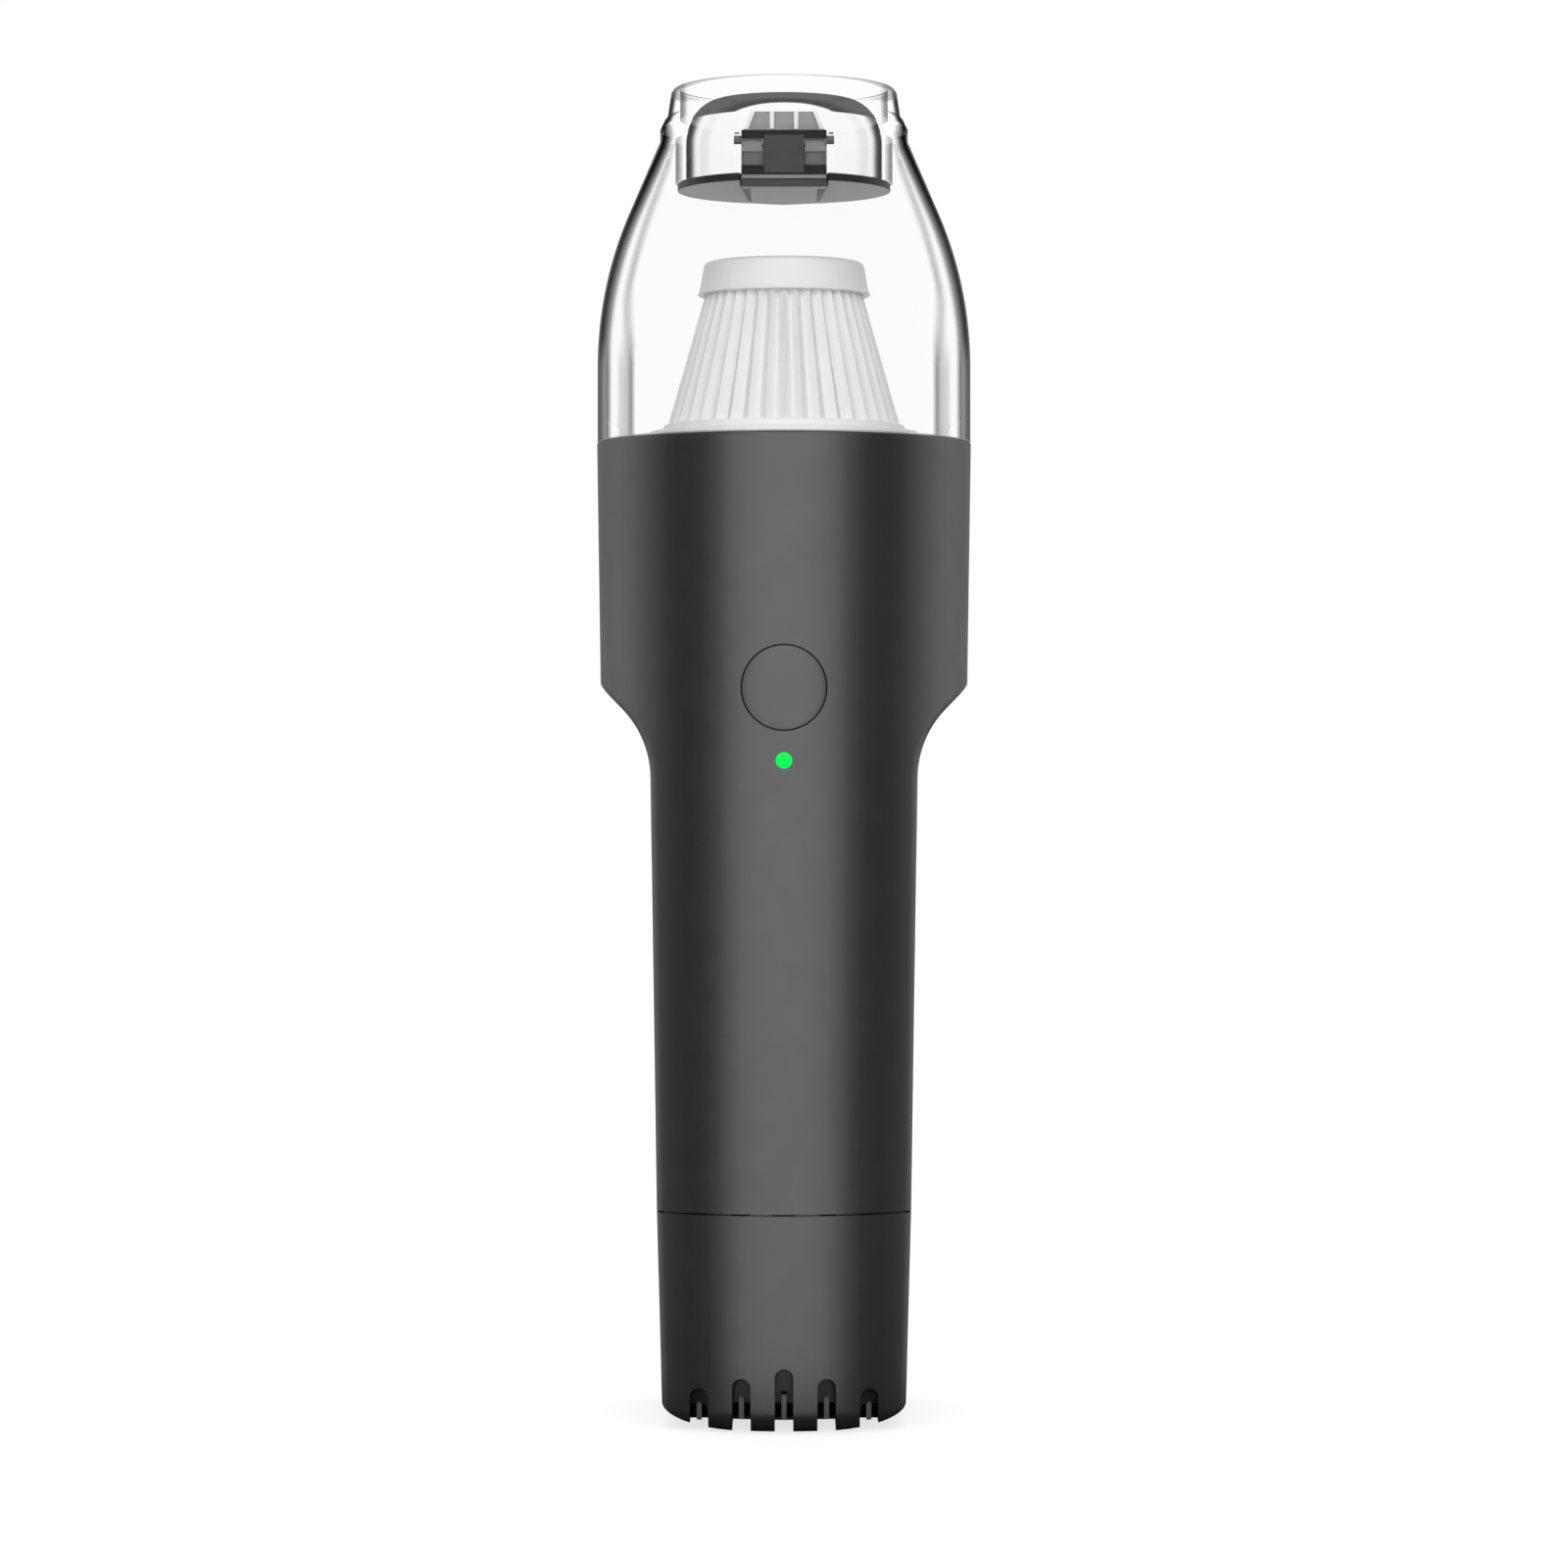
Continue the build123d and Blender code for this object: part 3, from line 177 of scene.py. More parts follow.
lightPath = addNode(tree, "ShaderNodeLightPath")
direction = addNode(tree, "ShaderNodeTexCoord")
axes = addNode(tree, "ShaderNodeSeparateXYZ")
feed(axes, 0, direction.outputs["Generated"])
backward, upward = (addMath(tree, "MULTIPLY", addMath(tree, "ADD", axes.outputs[axis], 1), 0.5)
                    for axis in "YZ")
fillLight, glossLight, whiteWall = (addNode(tree, "ShaderNodeBackground") for light in range(3))
for node in (fillLight, glossLight, whiteWall):
    feed(node, "Color", (1, 1, 1, 1))
feed(fillLight, "Strength", addRamp(tree, studio["fill"], backward))
glossShare = addMath(tree, "MULTIPLY", addRamp(tree, studio["gloss"], backward),
                     addRamp(tree, studio["glossBelow"], upward))
glossShare = addMath(tree, "ADD", glossShare, addRamp(tree, studio["glossFloor"], upward))
feed(glossLight, "Strength", glossShare)
glossMix = mixShaders(tree, lightPath.outputs["Is Glossy Ray"], fillLight, glossLight)
wallMix = mixShaders(tree, seenDirectly(tree, lightPath), glossMix, whiteWall)
feed(addNode(tree, "ShaderNodeOutputWorld"), "Surface", wallMix.outputs[0])


def addSoftbox(name, place, aim, size, radiance):
    data = bpy.data.lights.new(name, "AREA")
    data.shape = "RECTANGLE"
    data.size, data.size_y = size
    data.energy = radiance * math.pi * size[0] * size[1]
    lamp = bpy.data.objects.new(name, data)
    lamp.location = place
    lamp.rotation_euler = (Vector(aim) - Vector(place)).to_track_quat("-Z", "Y").to_euler()
    lamp.visible_camera = False
    lamp.visible_transmission = False
    scene.collection.objects.link(lamp)


for name, softbox in softboxes.items():
    addSoftbox(name, **softbox)


def makeSheet(name, bm, look, material):
    bmesh.ops.translate(bm, verts=bm.verts, vec=(0, 0, -look["drop"]))
    sheet = makeObject(name, bm)
    sheet.data.materials.append(material)
    for ray in look["unseenBy"]:
        setattr(sheet, "visible_" + ray, False)
    return sheet


# Floor: pale, white to the eye, with the soft shadow of the object near it
floorLook = {"size": 14, "drop": 0.0002, "colour": 0.5, "unseenBy": ["glossy"], "glowReach": 1.5,
             "glow": [(0, 0.72), (0.12, 0.8), (0.4, 0.95), (1, 1)]}
floorMaterial, tree, output = startMaterial("paleFloor")
lightPath = addNode(tree, "ShaderNodeLightPath")
matt = addNode(tree, "ShaderNodeBsdfDiffuse")
feed(matt, "Color", (floorLook["colour"],) * 3 + (1,))
place = addNode(tree, "ShaderNodeTexCoord")
away = addNode(tree, "ShaderNodeVectorMath", operation="LENGTH")
feed(away, 0, place.outputs["Object"])
distance = addMath(tree, "DIVIDE", away.outputs["Value"], floorLook["glowReach"])
glowShare = addMath(tree, "MULTIPLY", seenDirectly(tree, lightPath),
                    addRamp(tree, floorLook["glow"], distance))
glow = addNode(tree, "ShaderNodeEmission")
feed(glow, "Strength", glowShare)
both = addNode(tree, "ShaderNodeAddShader")
feed(both, 0, matt.outputs[0])
feed(both, 1, glow.outputs[0])
feed(output, "Surface", both.outputs[0])
bm = bmesh.new()
bmesh.ops.create_grid(bm, x_segments=1, y_segments=1, size=floorLook["size"] / 2)
floor = makeSheet("floor", bm, floorLook, floorMaterial)

# Black card flat round the foot: only the gloss sees it, as a dark fade near the floor
cardLook = {"radius": 0.075, "drop": 0.0001, "unseenBy": ["camera", "diffuse", "transmission", "shadow"]}
cardMaterial, tree, output = startMaterial("blackCard")
black = addNode(tree, "ShaderNodeBsdfDiffuse")
feed(black, "Color", (0, 0, 0, 1))
feed(output, "Surface", black.outputs[0])
bm = bmesh.new()
bmesh.ops.create_circle(bm, cap_ends=True, radius=cardLook["radius"], segments=96)
footCard = makeSheet("footCard", bm, cardLook, cardMaterial)
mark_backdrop(floor, footCard)
print("studio set")

# Moulded grain, shared by all finishes: a tone near 1, a roughness and a height
grainLook = {"fineDetail": 3, "broadDetail": 2, "broadShare": 0.05}


def makeGrainGroup():
    group = bpy.data.node_groups.new("mouldedGrain", "ShaderNodeTree")
    group.interface.new_socket("Vector", in_out="INPUT", socket_type="NodeSocketVector")
    for name in ("Grain Scale", "Tone Drift", "Roughness", "Roughness Drift"):
        group.interface.new_socket(name, in_out="INPUT", socket_type="NodeSocketFloat")
    for name in ("Tone", "Roughness", "Height"):
        group.interface.new_socket(name, in_out="OUTPUT", socket_type="NodeSocketFloat")
    given = addNode(group, "NodeGroupInput")
    result = addNode(group, "NodeGroupOutput")
    fine, broad = (addNode(group, "ShaderNodeTexNoise") for noise in range(2))
    for noise, key in ((fine, "fineDetail"), (broad, "broadDetail")):
        feed(noise, "Detail", grainLook[key])
        feed(noise, "Vector", given.outputs["Vector"])
    scale = given.outputs["Grain Scale"]
    feed(fine, "Scale", scale)
    feed(broad, "Scale", addMath(group, "MULTIPLY", scale, grainLook["broadShare"]))
    broadSwing, fineSwing = (addMath(group, "SUBTRACT", noise.outputs["Fac"], 0.5) for noise in (broad, fine))
    swing = addMath(group, "ADD", broadSwing, fineSwing)
    tone = addMath(group, "ADD", addMath(group, "MULTIPLY", swing, given.outputs["Tone Drift"]), 1)
    rough = addMath(group, "MULTIPLY", swing, given.outputs["Roughness Drift"])
    feed(result, "Tone", tone)
    feed(result, "Roughness", addMath(group, "ADD", rough, given.outputs["Roughness"]))
    feed(result, "Height", fine.outputs["Fac"])
    return group


grainGroup = makeGrainGroup()


def addGrain(tree, shader, vector, look):
    grain = addNode(tree, "ShaderNodeGroup", node_tree=grainGroup)
    feed(grain, "Vector", vector)
    for socket, key in (("Grain Scale", "grain"), ("Tone Drift", "drift"), ("Roughness", "rough"),
                        ("Roughness Drift", "roughDrift")):
        feed(grain, socket, look[key])
    feed(shader, "Roughness", grain.outputs["Roughness"])
    return grain


def addTint(tree, colour, tone):
    tint = addNode(tree, "ShaderNodeMix", data_type="RGBA", blend_type="MULTIPLY")
    feed(tint, 0, 1)
    feed(tint, 6, colour + (1,))
    feed(tint, 7, tone)
    return tint.outputs[2]


# One look for each material slot of the record, on top of what most looks share
plainLook = {"rough": 0.5, "roughDrift": 0.08, "grain": 3600, "drift": 0.08, "bump": 0.1, "bumpDepth": 0.05,
             "stretch": (1, 1, 1), "specular": 0.5, "metallic": 0}
looks = {
    "body_plastic": {"colour": (0.016, 0.016, 0.017), "rough": 0.38, "grain": 4200, "drift": 0.12,
                     "bump": 0.2, "specular": 0.85},
    "white_plastic": {"colour": (0.86, 0.86, 0.86), "rough": 0.4, "grain": 3000, "drift": 0.02},
    "filter_paper": {"colour": (0.86, 0.86, 0.855), "rough": 0.9, "grain": 5200, "bump": 0.5,
                     "stretch": (1, 1, 0.35), "specular": 0.2},
    "flap_rubber": {"colour": (0.5, 0.5, 0.505), "rough": 0.6},
    # Painted light and shade on the flap: near black for its shaded sides and edges, lighter greys for its
    # pockets, its lit stripe and a darker step
    "flap_painted_shade": {"colour": (0.006, 0.006, 0.006), "specular": 0.2},
    "flap_plastic": {"colour": (0.04, 0.04, 0.042), "rough": 0.45, "specular": 0.3},
    "flap_painted_light": {"colour": (0.2, 0.2, 0.203)},
    "flap_step": {"colour": (0.105, 0.105, 0.107)},
    "seal_rubber": {"colour": (0.6, 0.6, 0.6), "rough": 0.7, "grain": 2600, "drift": 0.05},
    "inner_plastic": {"colour": (0.06, 0.06, 0.062), "grain": 2600},
    "circuit_board": {"colour": (0.01, 0.11, 0.04), "rough": 0.35, "grain": 900, "drift": 0.3},
    "switch_plastic": {"colour": (0.02, 0.02, 0.02), "grain": 3000, "drift": 0.05},
    "steel": {"colour": (0.62, 0.62, 0.63), "rough": 0.28, "grain": 2200, "drift": 0.06,
              "stretch": (0.1, 1, 1), "metallic": 1},
    "cell_sleeve": {"colour": (0.03, 0.12, 0.3), "rough": 0.3, "grain": 700, "drift": 0.05},
    "magnet": {"colour": (0.09, 0.09, 0.095), "rough": 0.55, "grain": 2400, "drift": 0.2, "metallic": 0.6},
    "bronze": {"colour": (0.6, 0.38, 0.18), "rough": 0.4, "grain": 2400, "drift": 0.15, "metallic": 1},
    # Painted shade: near black for the slots' walls and depths, darker than the body for the scoops' backs
    "slot_painted_dark": {"colour": (0.003, 0.003, 0.003), "rough": 0.7, "grain": 2600, "specular": 0.1},
    "slot_painted_shade": {"colour": (0.008, 0.008, 0.008), "grain": 2600, "specular": 0.35},
    "carrier_grey": {"colour": (0.28, 0.28, 0.285), "rough": 0.45, "grain": 3000, "drift": 0.05},
}


def makeFinish(name, look):
    look = {**plainLook, **look}
    material, tree, output = startMaterial(name)
    shader = addNode(tree, "ShaderNodeBsdfPrincipled")
    feed(output, "Surface", shader.outputs[0])
    place = addNode(tree, "ShaderNodeTexCoord")
    stretch = addNode(tree, "ShaderNodeMapping")
    feed(stretch, "Scale", look["stretch"])
    feed(stretch, "Vector", place.outputs["Object"])
    grain = addGrain(tree, shader, stretch.outputs[0], look)
    feed(shader, "Base Color", addTint(tree, look["colour"], grain.outputs["Tone"]))
    bump = addNode(tree, "ShaderNodeBump")
    feed(bump, "Strength", look["bump"])
    feed(bump, "Distance", look["bumpDepth"] * mm)
    feed(bump, "Height", grain.outputs["Height"])
    feed(shader, "Normal", bump.outputs[0])
    feed(shader, "Specular IOR Level", look["specular"])
    feed(shader, "Metallic", look["metallic"])
    return material


finishes = {name: makeFinish(name, look) for name, look in looks.items()}

# Lit green lens: plain colour with a soft glow
lampLook = {"colour": (0, 0.5, 0.045), "glow": (0, 1, 0.1), "strength": 0.75, "specular": 0.05,
            "rough": 0.25, "roughDrift": 0.05, "grain": 1500, "drift": 0.06}


def makeLampFinish(name, look):
    material, tree, output = startMaterial(name)
    shader = addNode(tree, "ShaderNodeBsdfPrincipled")
    feed(output, "Surface", shader.outputs[0])
    place = addNode(tree, "ShaderNodeTexCoord")
    grain = addGrain(tree, shader, place.outputs["Object"], look)
    feed(shader, "Emission Color", addTint(tree, look["glow"], grain.outputs["Tone"]))
    feed(shader, "Base Color", look["colour"] + (1,))
    feed(shader, "Emission Strength", look["strength"])
    feed(shader, "Specular IOR Level", look["specular"])
    return material


finishes["lamp_green"] = makeLampFinish("lamp_green", lampLook)

# Clear plastic: open where it faces the eye, with painted edge shade in its colour where the wall is seen
# edge-on, darker towards the nose
clearLook = {
    "ior": 1.004, "rough": 0.02, "roughDrift": 0.01, "grain": 400, "drift": 0.02,
    "drum": [(0, 0.004), (0.6, 0.01), (0.623, 0.08), (0.65, 0.35), (0.68, 0.57), (0.713, 0.47),
             (0.75, 0.52), (0.796, 0.65), (0.9, 0.66), (1, 0.5)],
    "cone": [(0, 0.004), (0.61, 0.01), (0.64, 0.15), (0.666, 0.38), (0.7, 0.55), (0.74, 0.68), (0.79, 0.82),
             (0.83, 0.8), (0.87, 0.68), (0.92, 0.45), (1, 0.3)],
    "collar": [(0, 0.004), (0.67, 0.01), (0.713, 0.36), (0.76, 0.78), (0.85, 0.8), (0.92, 0.5), (1, 0.3)],
    "shoulder": [(0, 0.004), (0.7, 0.01), (0.74, 0.4), (0.78, 0.84), (1, 0.88)],
    "rim": [(0, 0.004), (0.44, 0.01), (0.55, 0.4), (0.8, 0.55), (1, 0.4)],
    "bore": [(0, 0.004), (0.62, 0.01), (0.72, 0.36), (0.82, 0.5), (0.95, 0.5), (1, 0.4)],
    "tube": [(0, 0.006), (0.34, 0.008), (0.38, 0.06), (0.47, 0.08), (0.5, 0.012), (0.56, 0.03),
             (0.61, 0.24), (0.66, 0.6), (0.74, 0.8), (0.85, 0.82), (1, 0.7)],
    "lip": [(0, 0.004), (0.275, 0.01), (0.3, 0.92), (0.38, 0.92), (0.46, 0.86), (0.75, 0.86), (1, 0.88)],
    "thin": [(0, 0.004), (0.8, 0.012), (0.9, 0.04), (1, 0.1)],
    # band and highBand: the painted reflection band inside the drum's edge
    "band": [(0, 0), (0.395, 0), (0.429, 0.48), (0.445, 0.36), (0.46, 0.26), (0.53, 0.15), (0.56, 0)],
    "highBand": [(0, 0), (0.385, 0), (0.429, 0.3), (0.45, 0.2), (0.475, 0.1), (0.49, 0)],
    "bandLift": [(0, 0), (0.05, 0), (0.27, 0.083), (0.42, 0.089), (0.57, 0.115), (0.72, 0.117), (1, 0.12)],
    "coneShare": [(0, 0), (0.12, 1), (1, 1)],
    "coneShift": [(0, 0), (0.57, 0), (0.72, 0.022), (0.86, 0.06), (1, 0.06)],
    "coneGain": [(0, 0), (0.42, 0), (0.86, 0.18), (1, 0.18)],
    "coat": [(0, 0.3), (0.45, 0.3), (0.6, 0), (1, 0)], "coatRough": 0.1,
    "liftFrom": 0.1975, "liftSpan": 0.05, "bandTop": 0.238,
}


# Drum: its painted edge shade turns into the cone's as it climbs, with a painted reflection band, grey,
# inside it up to the nose
def shadeDrum(tree, place, view):
    def ramp(key, source):
        return addRamp(tree, clearLook[key], source)

    axes = addNode(tree, "ShaderNodeSeparateXYZ")
    feed(axes, 0, place)
    height = axes.outputs["Z"]
    above = addMath(tree, "SUBTRACT", height, clearLook["liftFrom"])
    climb = addMath(tree, "DIVIDE", above, clearLook["liftSpan"])
    coneShare = ramp("coneShare", climb)
    shifted = addMath(tree, "ADD", view, ramp("coneShift", climb))
    gain = addMath(tree, "ADD", ramp("coneGain", climb), 1)
    cone = addMath(tree, "MULTIPLY", ramp("cone", shifted), gain)
    dropped = addMath(tree, "SUBTRACT", view, ramp("bandLift", climb))
    band = mixValues(tree, coneShare, ramp("band", dropped), ramp("highBand", dropped))
    below = addMath(tree, "LESS_THAN", height, clearLook["bandTop"])
    edge = mixValues(tree, coneShare, ramp("drum", view), cone)
    return addMath(tree, "MAXIMUM", edge, addMath(tree, "MULTIPLY", band, below))


def makeClear(name, edge):
    material, tree, output = startMaterial(name)
    shader = addNode(tree, "ShaderNodeBsdfPrincipled")
    facing = addNode(tree, "ShaderNodeLayerWeight")
    feed(facing, "Blend", 0.5)
    view = facing.outputs["Facing"]
    place = addNode(tree, "ShaderNodeTexCoord")
    if edge == "drum":
        shade = shadeDrum(tree, place.outputs["Object"], view)
        feed(shader, "Coat Weight", addRamp(tree, clearLook["coat"], view))
        feed(shader, "Coat Roughness", clearLook["coatRough"])
    else:
        shade = addRamp(tree, clearLook[edge], view)
    # The lip's painted edge shade falls on its front faces only
    if edge == "lip":
        side = addNode(tree, "ShaderNodeNewGeometry")
        front = addMath(tree, "SUBTRACT", 1, side.outputs["Backfacing"])
        shade = addMath(tree, "MULTIPLY", shade, front)
    # The painted shade dims the colour that passes through the wall
    passed = addMath(tree, "POWER", addMath(tree, "SUBTRACT", 1, shade), 2)
    feed(shader, "Base Color", passed)
    addGrain(tree, shader, place.outputs["Object"], clearLook)
    feed(shader, "Transmission Weight", 1)
    feed(shader, "IOR", clearLook["ior"])
    lightPath = addNode(tree, "ShaderNodeLightPath")
    unseen = addMath(tree, "MAXIMUM", lightPath.outputs["Is Shadow Ray"], lightPath.outputs["Is Diffuse Ray"])
    openWay = addNode(tree, "ShaderNodeBsdfTransparent")
    feed(output, "Surface", mixShaders(tree, unseen, shader, openWay).outputs[0])
    return material


finishes["clear_plastic"] = makeClear("clear_plastic", "drum")
for edge in ("collar", "shoulder", "rim", "bore", "tube", "lip", "thin"):
    finishes["clear_" + edge] = makeClear("clear_" + edge, edge)
print("finishes made")


# Outline pen in the XZ plane: a point is x and z, and an arc is its centre, its degrees and its steps
def drawOutline(moves, closed):
    bm = bmesh.new()
    first = last = bm.verts.new((moves[0][0] * mm, 0, moves[0][1] * mm))
    for x, z, *arc in moves[1:]:
        if arc:
            degrees, steps = arc
            turned = bmesh.ops.spin(bm, geom=[last], cent=(x * mm, 0, z * mm), axis=(0, 1, 0),
                                    angle=math.radians(degrees), steps=steps)
            last = next(item for item in turned["geom_last"] if isinstance(item, bmesh.types.BMVert))
        else:
            last = bmesh.ops.extrude_vert_indiv(bm, verts=[last])["verts"][0]
            last.co = (x * mm, 0, z * mm)
    if closed:
        bm.edges.new((last, first))
    return bm


def closeUp(bm):
    bmesh.ops.remove_doubles(bm, verts=bm.verts, dist=1e-6)
    bmesh.ops.dissolve_degenerate(bm, edges=bm.edges, dist=1e-7)
    bmesh.ops.recalc_face_normals(bm, faces=bm.faces)


def spinOutline(moves, segments, closed=True):
    bm = drawOutline(moves, closed)
    bmesh.ops.remove_doubles(bm, verts=bm.verts, dist=1e-7)
    bmesh.ops.spin(bm, geom=bm.verts[:] + bm.edges[:], cent=(0, 0, 0), axis=(0, 0, 1),
                   angle=math.tau, steps=segments, use_merge=True)
    closeUp(bm)
    return bm


def carve(obj, tool, operation="DIFFERENCE", crossing=False):
    step = obj.modifiers.new("carve", "BOOLEAN")
    step.object = tool
    step.operation = operation
    step.solver = "EXACT"
    step.use_self = crossing
    bpy.context.view_layer.update()
    shaped = obj.evaluated_get(bpy.context.evaluated_depsgraph_get())
    mesh = bpy.data.meshes.new_from_object(shaped)
    obj.modifiers.clear()
    obj.data = mesh
    bpy.data.objects.remove(tool)


def carveForm(obj, bm, operation="DIFFERENCE", crossing=False):
    closeUp(bm)
    carve(obj, makeObject("tool", bm), operation, crossing)


# Each edge once, in the order in which the vertices meet them
def linkedEdges(verts):
    return list(dict.fromkeys(edge for vert in verts for edge in vert.link_edges))


def addBox(bm, low, high, bevel=0):
    made = bmesh.ops.create_cube(bm, size=1.0)["verts"]
    size = Vector(high) - Vector(low)
    middle = (Vector(high) + Vector(low)) / 2
    bmesh.ops.scale(bm, verts=made, vec=size * mm)
    bmesh.ops.translate(bm, verts=made, vec=middle * mm)
    if bevel:
        bmesh.ops.bevel(bm, geom=linkedEdges(made), offset=bevel * mm, affect="EDGES", segments=2,
                        profile=0.5, material=-1)
    return made


def cutBox(obj, low, high):
    bm = bmesh.new()
    addBox(bm, low, high)
    carveForm(obj, bm)


def joinBox(obj, low, high, bevel=0):
    bm = bmesh.new()
    addBox(bm, low, high, bevel)
    carveForm(obj, bm, "UNION")


def pushOut(bm, faces, shift):
    pushed = bmesh.ops.extrude_face_region(bm, geom=faces)["geom"]
    moved = [item for item in pushed if isinstance(item, bmesh.types.BMVert)]
    bmesh.ops.translate(bm, verts=moved, vec=shift)


def quarterTurn(bm, verts, axis):
    bmesh.ops.rotate(bm, verts=verts, cent=(0, 0, 0), matrix=Matrix.Rotation(math.radians(90), 3, axis))


# Stadium-shaped bar along Y, standing or lying, for slots and sockets
def addBar(bm, x, z, width, height, near, far, segments):
    radius = min(width, height) / 2
    made = bmesh.ops.create_circle(bm, cap_ends=True, radius=radius * mm, segments=segments)["verts"]
    quarterTurn(bm, made, "X")
    for vert in made:
        vert.co.z += math.copysign(height / 2 - radius, vert.co.z) * mm
        vert.co.x += math.copysign(width / 2 - radius, vert.co.x) * mm
    bmesh.ops.translate(bm, verts=made, vec=Vector((x, near, z)) * mm)
    pushOut(bm, [made[0].link_faces[0]], (0, (far - near) * mm, 0))


# Round rod along X through the point y, z
def addRod(bm, radius, length, y, z, segments):
    made = bmesh.ops.create_cone(bm, cap_ends=True, segments=segments, radius1=radius * mm,
                                 radius2=radius * mm, depth=length * mm)["verts"]
    quarterTurn(bm, made, "Y")
    bmesh.ops.translate(bm, verts=made, vec=(0, y * mm, z * mm))


# Finish, body, slot and replaced nodes of a piece; choose names the finish of each face
def dress(obj, body, slotName, nodes, sharp=32, extra=(), choose=None):
    mesh = obj.data
    names = [slotName, *extra]
    mesh.materials.clear()
    for name in names:
        mesh.materials.append(finishes[name])
    mesh.polygons.foreach_set("use_smooth", [True] * len(mesh.polygons))
    mesh.set_sharp_from_angle(angle=math.radians(sharp))
    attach(obj, body)
    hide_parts(*nodes)
    if choose:
        for face in mesh.polygons:
            face.material_index = names.index(choose(face, Vector(face.center) / mm))
    print(obj.name, len(mesh.polygons), "faces")


def outwardShare(face, middle):
    return face.normal.dot(Vector((middle.x, middle.y, 0)).normalized())


# Body form: round barrel with flat flanks and a flared shoulder
bodyForm = {"rimZ": 183, "rimRadius": 35.3, "baseRadius": 32.6, "wall": 2.2, "seamZ": 40, "rebate": 3,
            "flanks": [(0, 22.4), (40, 23.5), (119.8, 24.65)], "shoulderRadius": 18, "shoulderTurn": 45,
            "edgeBlend": 1.1, "leastBlend": 0.01, "deepest": 6, "segments": 288}
wall = bodyForm["wall"]
seamZ = bodyForm["seamZ"]
lipTop = seamZ + bodyForm["rebate"]


def barrelRadius(z):
    return bodyForm["baseRadius"] + (bodyForm["rimRadius"] - bodyForm["baseRadius"]) * z / bodyForm["rimZ"]


def flankHalfWidth(z):
    (z0, w0), (z1, w1), (z2, w2) = bodyForm["flanks"]
    if z <= z1:
        return w0 + (w1 - w0) * (z - z0) / (z1 - z0)
    lean = w1 + (w2 - w1) * (z - z1) / (z2 - z1)
    if z <= z2:
        return lean
    radius = bodyForm["shoulderRadius"]
    bendTop = z2 + radius * math.sin(math.radians(bodyForm["shoulderTurn"]))
    climb = min(z, bendTop) - z2
    return lean + radius - math.sqrt(radius**2 - climb**2) + max(z - bendTop, 0)


def softMin(first, second, blend):
    near = max(blend - abs(first - second), 0) / blend
    return min(first, second) - near * near * blend / 4


def flattenFlanks(bm):
    deepest = bodyForm["deepest"]
    for vert in bm.verts:
        z = vert.co.z / mm
        radius = math.hypot(vert.co.x, vert.co.y) / mm
        inset = barrelRadius(z) - radius
        flank = flankHalfWidth(z)
        limit = flank - inset
        if inset > deepest:
            limit = (flank - deepest) * radius / (barrelRadius(z) - deepest)
        if limit < barrelRadius(z):
            blend = min(bodyForm["edgeBlend"], max(limit, bodyForm["leastBlend"]))
            reach = softMin(abs(vert.co.x) / mm, limit, blend)
            vert.co.x = math.copysign(reach, vert.co.x) * mm
    closeUp(bm)


def wallMoves(levels, inset):
    return [(barrelRadius(z) - inset, z) for z in levels]


# Main housing, from the rim to the seam; its rings lie closest where the shoulder flares
housing = {"rimRound": 0.4, "ledge": (151, 153.5, 3.4), "innerTop": 165, "buttonZ": 136.2,
           "buttonHole": 7.95, "lampZ": 122.9, "lampHole": 1.5, "socketZ": 52, "socketHole": (9.54, 3.86),
           "holeReach": (26, 42), "flareRings": (140.5, 0.75, 34), "innerFlareRings": (119, 1.5, 16),
           "barrelRings": [180, 172, 164, 156, 148, 142],
           "gripRings": [114, 110, 104, 98, 92, 84, 76, 68, 60, 54, 48, 44, 41, 40.25],
           "innerRings": [60, 80, 100, 112, 117], "innerLast": 146}
flareTop, flareStep, flareCount = housing["flareRings"]
outerLevels = housing["barrelRings"] + [flareTop - flareStep * step for step in range(flareCount)]
outerLevels += housing["gripRings"] + [seamZ]
flareFoot, flareStep, flareCount = housing["innerFlareRings"]
innerLevels = [lipTop] + housing["innerRings"] + [flareFoot + flareStep * step for step in range(flareCount)]
ledgeLow, ledgeHigh, ledgeWidth = housing["ledge"]
rimZ = bodyForm["rimZ"]
rimEdge = barrelRadius(rimZ)
rim = housing["rimRound"]
moves = [(rimEdge - wall, rimZ), (rimEdge - rim, rimZ), (rimEdge - rim, rimZ - rim, 90, 4)]
moves += wallMoves(outerLevels, 0)
moves += wallMoves([seamZ, lipTop], wall / 2)
moves += wallMoves(innerLevels + [housing["innerLast"], ledgeLow], wall)
moves += wallMoves([ledgeLow, ledgeHigh], wall + ledgeWidth)
moves += wallMoves([ledgeHigh, housing["innerTop"]], wall)
bm = spinOutline(moves, bodyForm["segments"])
flattenFlanks(bm)
housingShell = makeObject("housingShell", bm)
near, far = housing["holeReach"]
bm = bmesh.new()
for key, segments in (("button", 96), ("lamp", 40)):
    width = housing[key + "Hole"] * 2
    addBar(bm, 0, housing[key + "Z"], width, width, -near, -far, segments)
addBar(bm, 0, housing["socketZ"], *housing["socketHole"], near, far, 48)
carveForm(housingShell, bm)
dress(housingShell, "housing", "body_plastic", ["main_housing"])

